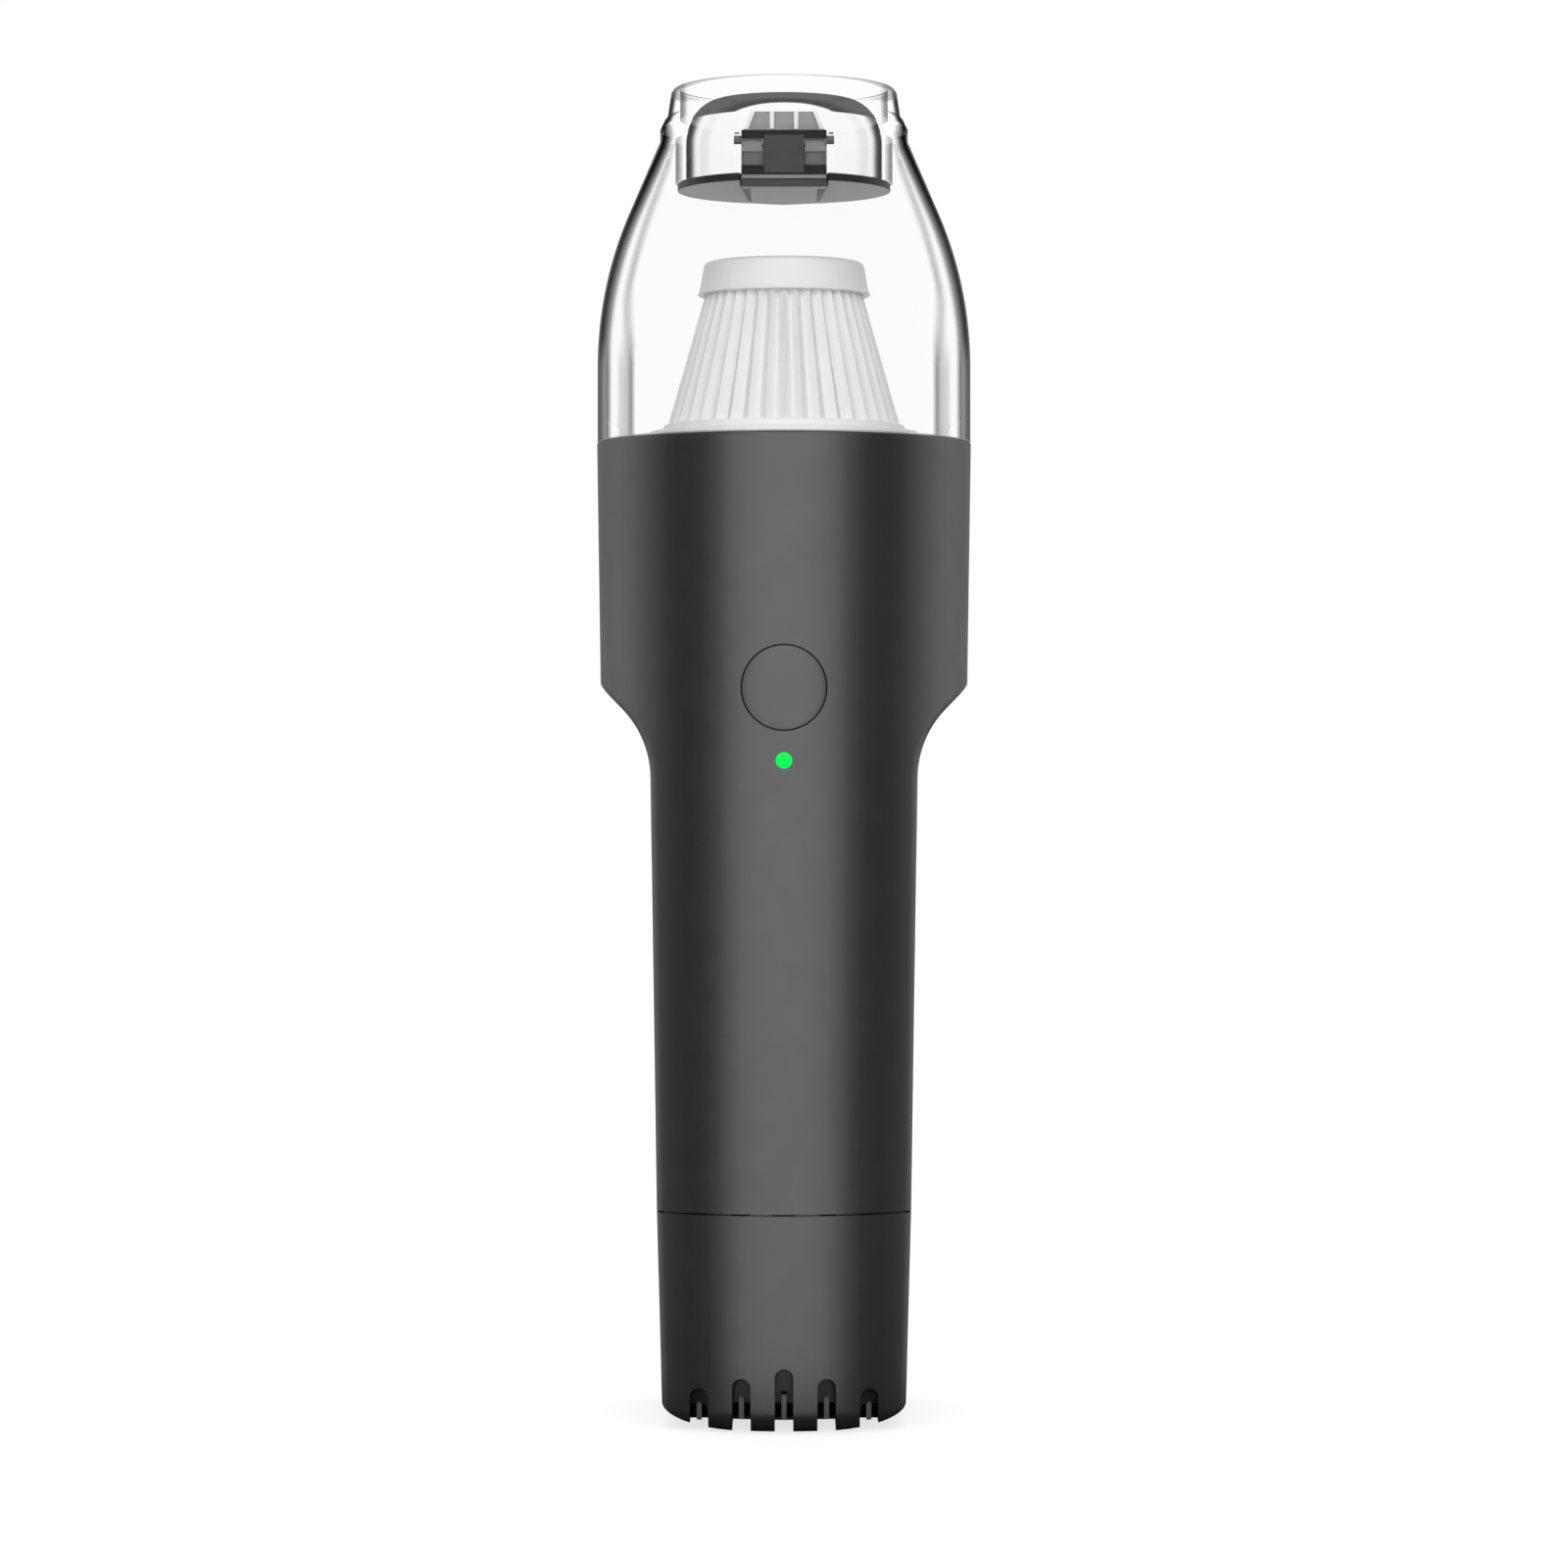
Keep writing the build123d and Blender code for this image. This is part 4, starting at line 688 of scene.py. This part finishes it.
# Tail cap: rounded foot corners, scooped exhaust slots with a post in each, grooves under the floor
tail = {"top": 39.65, "edgeRound": 3.6, "floor": 4.6, "lipInset": 1.2, "corner": (16, 4.8),
        "rings": [39.65, 39.4, 38, 34, 28, 22, 16, 12, 8, 6.5, 5, 4.3],
        "footRings": range(28, -1, -2), "floorRings": [0, 5, 12, 20, 26],
        "innerRings": [12, 24, 36], "slotWidth": 3.4, "slotPitch": 7.8, "slotHeights": [11.8, 9.9, 7.8],
        "slotDepth": 6, "openShare": 0.66, "scoopDepth": 3, "recess": 1.2, "coreReach": 14,
        "overrun": 5, "grooves": [2.3, 2.2, 1.7], "grooveDepth": 20, "grooveLap": 0.2, "grooveFoot": -1,
        "post": (0.9, 2.2, 3, 0.9), "ribs": (28, 22, 2, 20), "ribRoot": 1, "ribEdge": 0.3,
        "skin": 0.15, "shadeBeyond": 1, "shadeLap": 0.05, "recessLap": 0.3, "postLap": 0.02, "steep": 0.6}
roundOff = tail["edgeRound"]
tailFloor = tail["floor"]
moves = wallMoves([tail["top"]], tail["lipInset"])
moves += wallMoves(tail["rings"] + [roundOff], 0)
moves += [(barrelRadius(roundOff) - roundOff, roundOff, 90, 12)]
moves += [(radius, 0) for radius in tail["footRings"]]
moves += [(radius, tailFloor) for radius in tail["floorRings"]]
moves += wallMoves([tailFloor] + tail["innerRings"] + [lipTop], wall)
moves += wallMoves([lipTop], tail["lipInset"])
bm = spinOutline(moves, bodyForm["segments"])
flattenFlanks(bm)
cornerWidth, cornerHeight = tail["corner"]
cornerStart = flankHalfWidth(cornerHeight) - cornerWidth
for vert in bm.verts:
    share = min(max(abs(vert.co.x) / mm - cornerStart, 0) / cornerWidth, 1)
    lift = cornerHeight * (1 - math.sqrt(1 - share**2)) * mm
    vert.co.z = max(vert.co.z, lift)
closeUp(bm)
tailShell = makeObject("tailShell", bm)
ribWidth, ribY, ribThickness, ribTop = tail["ribs"]
bm = bmesh.new()
for side in (-1, 1):
    addBox(bm, (-ribWidth / 2, side * ribY - ribThickness / 2, tailFloor - tail["ribRoot"]),
           (ribWidth / 2, side * ribY + ribThickness / 2, ribTop), tail["ribEdge"])
carveForm(tailShell, bm, "UNION")

# Each slot: x, front or back, height, barrel's y there and height of its groove
slots = []
for index, height in enumerate(tail["slotHeights"]):
    for side in ((1,) if index == 0 else (-1, 1)):
        x = side * index * tail["slotPitch"]
        barrelY = math.sqrt(bodyForm["baseRadius"] ** 2 - x**2)
        slots += [(x, face, height, barrelY, tail["grooves"][index]) for face in (-1, 1)]
slotWidth, slotDepth = tail["slotWidth"], tail["slotDepth"]


# Box that reaches in from the front or the back
def addReachBox(bm, x, width, ends, low, high):
    near, far = sorted(ends)
    addBox(bm, (x - width / 2, near, low), (x + width / 2, far, high))


bm = bmesh.new()
for x, face, height, barrelY, groove in slots:
    addBar(bm, x, 0, slotWidth, height * 2, face * (barrelY - tail["scoopDepth"]),
           face * (barrelY + tail["overrun"]), 40)
closeUp(bm)
scoops = makeObject("tailScoops", bm)
coreReach = tail["coreReach"]
coreMoves = wallMoves([-coreReach, coreReach], tail["recess"]) + [(0, coreReach), (0, -coreReach)]
carve(scoops, makeObject("tailCore", spinOutline(coreMoves, 192)))
carve(tailShell, scoops)
bm = bmesh.new()
for x, face, height, barrelY, groove in slots:
    addBar(bm, x, 0, slotWidth, height * tail["openShare"] * 2, face * (barrelY - slotDepth),
           face * (barrelY + tail["overrun"]), 40)
    ends = (face * (barrelY - tail["grooveDepth"]), face * (barrelY - slotDepth + tail["grooveLap"]))
    addReachBox(bm, x, slotWidth, ends, tail["grooveFoot"], groove)
carveForm(tailShell, bm, crossing=True)
postWidth, postHeight, postReach, postRoot = tail["post"]
bm = bmesh.new()
for x, face, height, barrelY, groove in slots:
    ends = (face * (barrelY - slotDepth - postRoot), face * (barrelY - slotDepth + postReach))
    addReachBox(bm, x, postWidth, ends, groove, tailFloor + postHeight)
carveForm(tailShell, bm, "UNION")


# Painted shade in the exhaust slots: walls and depths near black, scoop backs darker than the body, posts and
# the rest in the body's finish
def tailFinish(face, middle):
    aside = min(abs(middle.x - slot[0]) for slot in slots)
    depth = barrelRadius(middle.z) - math.hypot(middle.x, middle.y)
    inDepth = tail["skin"] <= depth <= slotDepth + tail["shadeBeyond"]
    if aside > slotWidth / 2 + tail["shadeLap"] or not inDepth or face.normal.z < -tail["steep"]:
        return "body_plastic"
    outward = outwardShare(face, middle) > tail["steep"]
    if depth > tail["recess"] + tail["recessLap"]:
        onPost = aside < postWidth / 2 + tail["postLap"] and outward
        return "body_plastic" if onPost else "slot_painted_dark"
    return "slot_painted_shade" if outward else "slot_painted_dark"


dress(tailShell, "housing", "body_plastic", ["tail_cap"], 32, ["slot_painted_dark", "slot_painted_shade"], tailFinish)


# Discs let into the front wall: turned round Y, with the face laid on the barrel down to faceDepth
def makeInlay(form, z, segments):
    radius, edge = form["radius"], form["edge"]
    flangeRadius, flangeFront, flangeBack = form["flange"]
    stemRadius, stemEnd = form["stem"]
    moves = [(0, 0)] + [(radius * share, 0) for share in form["faceShares"]] + [(radius - edge, 0)]
    moves += [(radius - edge * inShare, edge * downShare) for inShare, downShare in form["edgeShares"]]
    moves += [(radius, edge), (radius, flangeFront), (flangeRadius, flangeFront), (flangeRadius, flangeBack),
              (stemRadius, flangeBack), (stemRadius, stemEnd), (0, stemEnd)]
    bm = spinOutline([(reach, -depth) for reach, depth in moves], segments, closed=False)
    quarterTurn(bm, bm.verts, "X")
    for vert in bm.verts:
        depth = vert.co.y / mm
        vert.co.z += z * mm
        curve = math.sqrt(barrelRadius(vert.co.z / mm) ** 2 - (vert.co.x / mm) ** 2)
        vert.co.y = (depth - (curve if depth < form["faceDepth"] else barrelRadius(z))) * mm
    closeUp(bm)
    return bm


button = {"radius": 7.81, "edge": 0.2, "faceShares": [0.2, 0.4, 0.6, 0.8], "faceDepth": 2,
          "edgeShares": [(0.6, 0.09), (0.25, 0.35)], "flange": (9.2, 3.84, 5.04), "stem": (2.2, 6.21)}
powerButton = makeObject("powerButton", makeInlay(button, housing["buttonZ"], 96))
dress(powerButton, "button", "body_plastic", ["power_button"])

lens = {"radius": 1.4, "edge": 0.12, "faceShares": [0.5], "faceDepth": 2,
        "edgeShares": [(0.3, 0.3)], "flange": (2.1, 2.27, 3.27), "stem": (1.4, 5.71)}
statusLens = makeObject("statusLens", makeInlay(lens, housing["lampZ"], 48))
dress(statusLens, "housing", "lamp_green", ["led_lens"])
print("body done")

# Clear dust cup: spigot, straight drum, dome, cone, nose band and collar, with a skirt round the inlet
cup = {"base": 183.2, "radius": 35.2, "wall": 1.9, "firstRing": 7, "straight": 197.5, "dome": 72,
       "lean": 23.3, "band": 23.4, "step": 242, "shoulder": (0.85, 1.8, 0.65), "collar": 21.7, "taper": 0.3,
       "top": 250, "edge": 1.6, "spigot": (32.741, 30.941, 179), "rise": (185.2, 187), "bore": 18.6,
       "mouth": (19.6, 243.3, 0.6, 0.2), "skirt": 20.5, "skirtFoot": 232, "roof": 240.2,
       "window": (18.8, 24), "overrun": 1, "lap": 0.1, "rimLap": 0.2, "steep": 0.7, "segments": 192}
base, straight, band, skirt, roof = (cup[key] for key in ("base", "straight", "band", "skirt", "roof"))
lean = math.radians(cup["lean"])
spigotOuter, spigotBore, spigotFoot = cup["spigot"]
domeX = cup["radius"] - cup["dome"]
innerRadius = cup["radius"] - cup["wall"]
innerDome = cup["dome"] - cup["wall"]
coneEnd = straight + cup["dome"] * math.sin(lean)
coneX = domeX + cup["dome"] * math.cos(lean)
bandZ = coneEnd + (coneX - band) / math.tan(lean)
innerConeX = domeX + innerDome * math.cos(lean)
innerConeZ = straight + innerDome * math.sin(lean)
roofX = innerConeX - (roof - innerConeZ) * math.tan(lean)
shoulderStep, shoulderRise, rootRise = cup["shoulder"]
rootZ = cup["step"] + shoulderRise + rootRise
rimFoot = cup["top"] - cup["edge"]
collarEnd = cup["collar"] - cup["taper"]
mouth, mouthFoot, mouthSlope, mouthEdge = cup["mouth"]
moves = [(spigotBore, spigotFoot), (spigotOuter, spigotFoot), (spigotOuter, base),
         (cup["radius"], base), (cup["radius"], base + cup["firstRing"]),
         (cup["radius"], straight), (domeX, straight, -cup["lean"], 24),
         ((coneX + band) / 2, (coneEnd + bandZ) / 2), (band, bandZ), (band, cup["step"]),
         (band - shoulderStep, cup["step"] + shoulderRise), (cup["collar"] + cup["taper"], rootZ),
         (collarEnd, rimFoot), (collarEnd - cup["edge"], rimFoot, -90, 8),
         (mouth, cup["top"] - mouthEdge), (mouth, mouthFoot + mouthSlope), (cup["bore"], mouthFoot),
         (cup["bore"], cup["skirtFoot"]), (skirt, cup["skirtFoot"]), (skirt, roof),
         (roofX, roof), (innerConeX, innerConeZ), (domeX, straight, cup["lean"], 24),
         (innerRadius, cup["rise"][1]), (spigotBore, cup["rise"][0])]
clearCup = makeObject("clearCup", spinOutline(moves, cup["segments"]))
windowWidth, windowReach = cup["window"]
cutBox(clearCup, (-windowWidth / 2, -windowReach, cup["skirtFoot"] - cup["overrun"]),
       (windowWidth / 2, 0, roof))


# Each face of the cup takes the clear finish whose painted edge shade suits its place
def cupFinish(face, middle):
    reach = math.hypot(middle.x, middle.y)
    outward = outwardShare(face, middle) > 0
    under = face.normal.z < -cup["steep"]
    if outward and reach > skirt + cup["lap"] and middle.z > base:
        level = sum(middle.z > height for height in (cup["step"], rootZ, rimFoot + cup["rimLap"]))
        return ("clear_plastic", "clear_shoulder", "clear_collar", "clear_rim")[level]
    if middle.z < base + cup["lap"] and (outward or under):
        return "clear_rim" if under else "clear_bore"
    onSkirt = outward and abs(reach - skirt) < cup["lap"] and middle.z < roof
    return "clear_bore" if onSkirt or middle.z > mouthFoot + mouthSlope else "clear_thin"


dress(clearCup, "cup", "clear_plastic", ["dust_cup"], 25,
      ["clear_thin", "clear_collar", "clear_bore", "clear_rim", "clear_shoulder"], cupFinish)

# Inlet sleeve: tube with a rolled-in lip and a flat wall behind the flap's arm, in the cup's skirt
sleeve = {"radius": 18.5, "wall": 1.4, "top": 247.7, "lip": (6.5, 8.5, 20), "half": 8.2, "wallLap": 0.3,
          "wallY": (-16.4, -15.2), "windowReach": 22, "overrun": 1, "ears": (8.7, 0.9, 1.3, 0.4),
          "hinge": (-18.2, 238), "darkFrom": 243.5, "tubeLap": 0.4, "level": 0.01}
sleeveFoot, windowTop = cup["skirtFoot"], roof
sleeveBore = sleeve["radius"] - sleeve["wall"]
lipReach, lipRise, lipSteps = sleeve["lip"]
lipX = sleeve["radius"] - lipReach
lipZ = sleeve["top"] - lipRise


def lipMoves(inset):
    reach, rise = lipReach - inset, lipRise - inset
    turns = [math.radians(90 * step / lipSteps) for step in range(1, lipSteps + 1)]
    return [(lipX + reach * math.cos(turn), lipZ + rise * math.sin(turn)) for turn in turns]


moves = [(sleeveBore, sleeveFoot), (sleeve["radius"], sleeveFoot), (sleeve["radius"], lipZ)]
moves += lipMoves(0) + lipMoves(sleeve["wall"])[::-1] + [(sleeveBore, lipZ)]
inletSleeve = makeObject("inletSleeve", spinOutline(moves, 128))
half = sleeve["half"]
wallFront, wallBack = sleeve["wallY"]
cutBox(inletSleeve, (-half, -sleeve["windowReach"], sleeveFoot - sleeve["overrun"]),
       (half, wallBack, windowTop))
joinBox(inletSleeve, (-half - sleeve["wallLap"], wallFront, sleeveFoot),
        (half + sleeve["wallLap"], wallBack, windowTop))
earX, earThickness, earRadius, earRoot = sleeve["ears"]
hingeY, hingeZ = sleeve["hinge"]
bm = bmesh.new()
for side in (-1, 1):
    addBox(bm, (side * earX - earThickness / 2, hingeY - earRadius, hingeZ - earRadius),
           (side * earX + earThickness / 2, wallFront + earRoot, hingeZ + earRadius))
carveForm(inletSleeve, bm, "UNION")


# Each face of the sleeve takes a clear finish; above darkFrom the lip's faces take the dark painted edge
# shade of clear_lip
def sleeveFinish(face, middle):
    reach = math.hypot(middle.x, middle.y)
    if middle.z > sleeve["darkFrom"]:
        onLip = reach > lipX and face.normal.z > -sleeve["level"]
        return "clear_lip" if onLip else "clear_thin"
    onTube = outwardShare(face, middle) > 0 and reach > sleeveBore + sleeve["tubeLap"]
    return "clear_tube" if onTube else "clear_thin"


dress(inletSleeve, "cup", "clear_plastic", ["inlet_sleeve"], 30, ["clear_thin", "clear_tube", "clear_lip"],
      sleeveFinish)

# Hinge carrier on the sleeve's flat wall: tapered plate with white ribs on it and along its sides
carrier = {"top": 243.5, "root": 0.4, "footHalf": 6.7, "topHalf": 5.3, "ribX": 2.25, "ribWidth": 0.8,
           "ribDepth": 0.6, "ribRoot": 0.2, "faceLap": 0.01, "sideLap": 0.02}
carrierFoot, carrierTop = windowTop, carrier["top"]
footHalf, topHalf, ribWidth = carrier["footHalf"], carrier["topHalf"], carrier["ribWidth"]


def addRib(bm, footX, topX, back):
    made = addBox(bm, (-ribWidth / 2, wallFront - carrier["ribDepth"], carrierFoot),
                  (ribWidth / 2, back, carrierTop))
    for vert in made:
        vert.co.x += (topX if vert.co.z > (carrierFoot + carrierTop) / 2 * mm else footX) * mm


bm = bmesh.new()
for vert in addBox(bm, (-1, wallFront, carrierFoot - carrier["root"]), (1, wallBack, carrierTop)):
    vert.co.x *= topHalf if vert.co.z > carrierFoot * mm else footHalf
for side in (-1, 1):
    addRib(bm, side * carrier["ribX"], side * carrier["ribX"], wallFront + carrier["ribRoot"])
    addRib(bm, side * (footHalf + ribWidth / 2), side * (topHalf + ribWidth / 2), wallBack)
closeUp(bm)
hingeCarrier = makeObject("hingeCarrier", bm)


def carrierFinish(face, middle):
    plateHalf = topHalf + (footHalf - topHalf) * (carrierTop - middle.z) / (carrierTop - carrierFoot)
    onRib = middle.y < wallFront - carrier["faceLap"] or abs(middle.x) > plateHalf + carrier["sideLap"]
    return "white_plastic" if onRib else "carrier_grey"


dress(hingeCarrier, "cup", "inner_plastic", [], 30, ["carrier_grey", "white_plastic"], carrierFinish)

# Flap disc, with a notch for its arm
flap = {"radius": 20.1, "top": 231.95, "bottom": 230.5, "edge": 0.15, "rings": [0, 8, 14],
        "notch": (16.4, 24, -16.7), "overrun": 1, "level": 0.9}
edge = flap["edge"]
moves = [(radius, flap["bottom"]) for radius in flap["rings"] + [flap["radius"] - edge]]
moves += [(flap["radius"] - edge, flap["bottom"] + edge, -90, 4), (flap["radius"], flap["top"] - edge),
          (flap["radius"] - edge, flap["top"])]
moves += [(radius, flap["top"]) for radius in reversed(flap["rings"])]
flapDisc = makeObject("flapDisc", spinOutline(moves, 128, closed=False))
notchWidth, notchReach, notchBack = flap["notch"]
cutBox(flapDisc, (-notchWidth / 2, -notchReach, flap["bottom"] - flap["overrun"]),
       (notchWidth / 2, notchBack, flap["top"] + flap["overrun"]))


# Painted shade: the disc's edge faces near black, its flat faces the rubber's grey
def discFinish(face, middle):
    return "flap_rubber" if abs(face.normal.z) > flap["level"] else "flap_painted_shade"


dress(flapDisc, "flap", "flap_rubber", ["flap_disc"], 32, ["flap_painted_shade"], discFinish)

# Flap arm: knuckle, bars and pockets above the disc, tongue below it; a bar is half width, y, z and edge
arm = {"half": 7.9, "knuckle": 1.5, "pin": (0.84, 30), "face": -19.7, "back": -16.7,
       "plate": (7.9, (-19.05, -16.7), (229.6, 238), 0),
       "topBar": (7.9, (-19.7, -17), (237.9, 239.7), 0.15),
       "column": (3.75, (-19.85, -17.1), (231.65, 238.95), 0.2),
       "pocketBar": (7.9, (-19.7, -16.9), (231.35, 233.2), 0.2),
       "stripe": (7.8, (-19.9, -16.95), (230.65, 231.45), 0.1),
       "footBar": (7.9, (-19.6, -16.85), (229.1, 230.75), 0.25),
       "pocketSides": [(-7.7, -4.1), (3.95, 7.55)],
       "pocketFloors": [(-18.5, 233.2, 235.75), (-19.03, 235.65, 237.9)],
       "overrun": 1, "tongue": (6.2, 2.7, -17.2), "tongueZ": (229.1, 230.5), "wedge": (-17, 9, 2),
       "wedgeLap": 0.1, "wedgeDrop": 0.8, "wedgeTaper": 0.3, "lap": 0.05, "faceLap": 0.08, "steep": 0.7}


def joinBar(half, ends, levels, edge):
    joinBox(flapArm, (-half, ends[0], levels[0]), (half, ends[1], levels[1]), edge)


bm = bmesh.new()
addRod(bm, arm["knuckle"], arm["half"] * 2, hingeY, hingeZ, 40)
closeUp(bm)
flapArm = makeObject("flapArm", bm)
joinBar(*arm["plate"])
joinBar(*arm["topBar"])
for left, right in arm["pocketSides"]:
    for floorY, low, high in arm["pocketFloors"]:
        cutBox(flapArm, (left, arm["face"] - arm["overrun"], low), (right, floorY, high))
for bar in ("column", "pocketBar", "stripe", "footBar"):
    joinBar(*arm[bar])
tongueHalf, tongueEnd, tongueRoot = arm["tongue"]
tongueFoot, tongueTop = arm["tongueZ"]
bm = bmesh.new()
made = bmesh.ops.create_circle(bm, cap_ends=True, radius=tongueHalf * mm, segments=64)["verts"]
bmesh.ops.translate(bm, verts=made, vec=Vector((0, tongueEnd, tongueFoot)) * mm)
for vert in made:
    if vert.co.y < tongueEnd * mm - 1e-6:
        vert.co.y = tongueRoot * mm
bmesh.ops.remove_doubles(bm, verts=bm.verts, dist=1e-6)
pushOut(bm, bm.faces[:], (0, 0, (tongueTop - tongueFoot) * mm))
carveForm(flapArm, bm, "UNION")
wedgeNear, wedgeFar, wedgeWidth = arm["wedge"]
wedgeFoot = tongueTop - arm["wedgeDrop"]
for side in (-1, 1):
    bm = bmesh.new()
    inner = side * (tongueHalf - arm["wedgeLap"])
    outer = side * (tongueHalf + wedgeWidth)
    made = addBox(bm, (min(inner, outer), wedgeNear, wedgeFoot), (max(inner, outer), wedgeFar, tongueTop))
    for vert in made:
        if vert.co.y > (wedgeNear + wedgeFar) / 2 * mm:
            vert.co.x = inner * mm + (vert.co.x - inner * mm) * arm["wedgeTaper"]
    carveForm(flapArm, bm, "UNION")
bm = bmesh.new()
addRod(bm, *arm["pin"], hingeY, hingeZ, 32)
carveForm(flapArm, bm)


# Painted light and shade on the arm: knuckle, top bar, wedges and faces not turned to the front near black, a
# painted highlight along the stripe, painted lighter pockets over a darker step, downward faces under the
# tongue in the disc's rubber grey
def armFinish(face, middle):
    columnHalf, barFoot, stripeFoot = arm["column"][0], arm["topBar"][2][0], arm["stripe"][2][0]
    stripeTop, pocketFoot = arm["pocketBar"][2]
    pocketStep = arm["pocketFloors"][0][2]
    ahead = face.normal.y < -arm["steep"]
    beside = abs(middle.x) > columnHalf + arm["lap"]
    onWedge = abs(middle.x) > tongueHalf - arm["lap"] and wedgeFoot - arm["wedgeLap"] < middle.z < tongueTop
    if (onWedge and middle.y > arm["back"]) or middle.z > barFoot:
        return "flap_painted_shade"
    if face.normal.z < -arm["steep"] and middle.z < tongueTop:
        return "flap_rubber"
    if not ahead:
        return "flap_painted_shade"
    if stripeFoot < middle.z < stripeTop:
        return "flap_painted_light"
    if stripeTop < middle.z < pocketFoot and middle.y > arm["face"] - arm["faceLap"]:
        return "flap_painted_shade"
    if beside and pocketFoot < middle.z < barFoot:
        return "flap_painted_light" if middle.z > pocketStep else "flap_step"
    return "flap_plastic"


dress(flapArm, "flap", "flap_plastic", ["flap_arm"], 32,
      ["flap_painted_shade", "flap_painted_light", "flap_step", "flap_rubber"], armFinish)
print("cup and flap done")

# Filter: flange with collar, pleated cone, dished cap
filterForm = {"flange": (25.65, 183.3, 184.9), "collar": (22.8, 186.2), "bore": 19.3, "edge": 0.3,
              "pleats": 40, "pleatSteps": 8, "levels": 6, "base": (21.9, 186.2), "tip": (14.9, 210.8),
              "pleatDepth": 1.7, "pleatRoundShare": 0.35, "paperBore": (19.3, 12.3)}
flangeRadius, flangeFoot, flangeTop = filterForm["flange"]
collarRadius, collarTop = filterForm["collar"]
edge = filterForm["edge"]
moves = [(filterForm["bore"], flangeFoot), (flangeRadius - edge, flangeFoot),
         (flangeRadius - edge, flangeFoot + edge, -90, 3), (flangeRadius, flangeTop - edge),
         (flangeRadius - edge, flangeTop - edge, -90, 3), (collarRadius, flangeTop),
         (collarRadius, collarTop - edge), (collarRadius - edge, collarTop - edge, -90, 3),
         (filterForm["bore"], collarTop)]
filterFlange = makeObject("filterFlange", spinOutline(moves, 128))
dress(filterFlange, "filter", "white_plastic", ["filter_flange"])


# How deep a pleat lies at this angle: a zigzag with slightly rounded folds, from 0 at the crest to 1
def pleatReach(angle):
    phase = (angle * filterForm["pleats"] / math.tau) % 1
    zigzag = abs(2 * phase - 1)
    roundShare = filterForm["pleatRoundShare"]
    return 1 - (zigzag * zigzag * (3 - 2 * zigzag) * roundShare + zigzag * (1 - roundShare))


bm = bmesh.new()
ringCount = filterForm["pleats"] * filterForm["pleatSteps"]
(baseRadius, baseZ), (tipRadius, tipZ) = filterForm["base"], filterForm["tip"]
baseBore, tipBore = filterForm["paperBore"]
rings = []
for level in range(filterForm["levels"] + 1):
    share = level / filterForm["levels"]
    made = bmesh.ops.create_circle(bm, radius=mm, segments=ringCount)["verts"]
    crest = baseRadius + (tipRadius - baseRadius) * share
    z = baseZ + (tipZ - baseZ) * share
    for vert in made:
        angle = math.atan2(vert.co.y, vert.co.x)
        reach = crest - filterForm["pleatDepth"] * pleatReach(angle)
        vert.co = Vector((math.cos(angle) * reach, math.sin(angle) * reach, z)) * mm
    rings.append(linkedEdges(made))
for radius, z in ((tipBore, tipZ), (baseBore, baseZ)):
    made = bmesh.ops.create_circle(bm, radius=radius * mm, segments=ringCount)["verts"]
    bmesh.ops.translate(bm, verts=made, vec=(0, 0, z * mm))
    rings.append(linkedEdges(made))
rings.append(rings[0])
for below, above in zip(rings, rings[1:]):
    bmesh.ops.bridge_loops(bm, edges=below + above)
closeUp(bm)
filterPleats = makeObject("filterPleats", bm)
dress(filterPleats, "filter", "filter_paper", ["filter_pleats"], 50)

# The cap's skirt flares out to its foot in steps of radius and height above the pleats
cap = {"flare": [(16.3, 0.2), (16.2, 0.5), (15.95, 1.1), (15.75, 2), (15.55, 3.2), (15.35, 4.4)],
       "footEdge": 0.2, "radius": 15.2, "top": 217, "edge": 1, "dishRim": 1.6, "dishEdge": 0.3,
       "dish": 0.8}
capRadius, capTop, capEdge, dishEdge = cap["radius"], cap["top"], cap["edge"], cap["dishEdge"]
dishRadius = capRadius - capEdge - cap["dishRim"]
dishFloor = capTop - cap["dish"]
moves = [(0, tipZ), (cap["flare"][0][0] - cap["footEdge"], tipZ)]
moves += [(radius, tipZ + height) for radius, height in cap["flare"]]
moves += [(capRadius, capTop - capEdge), (capRadius - capEdge, capTop - capEdge, -90, 8),
          (dishRadius + dishEdge, capTop), (dishRadius, capTop - dishEdge), (dishRadius, dishFloor),
          (0, dishFloor)]
filterCap = makeObject("filterCap", spinOutline(moves, 128, closed=False))
dress(filterCap, "filter", "white_plastic", ["filter_cap"])
print("filter done")

# CAD nodes that stay take the finish of their slot, and the hinge pin the flap's grey
for part in frame["record"]["subparts"]:
    node = frame["nodes"][part["node"]]
    node.data.materials.clear()
    finish = "flap_step" if part["node"] == "hinge_pin" else part["material_slot"]
    node.data.materials.append(finishes[finish])
print("kept nodes dressed")

low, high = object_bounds()
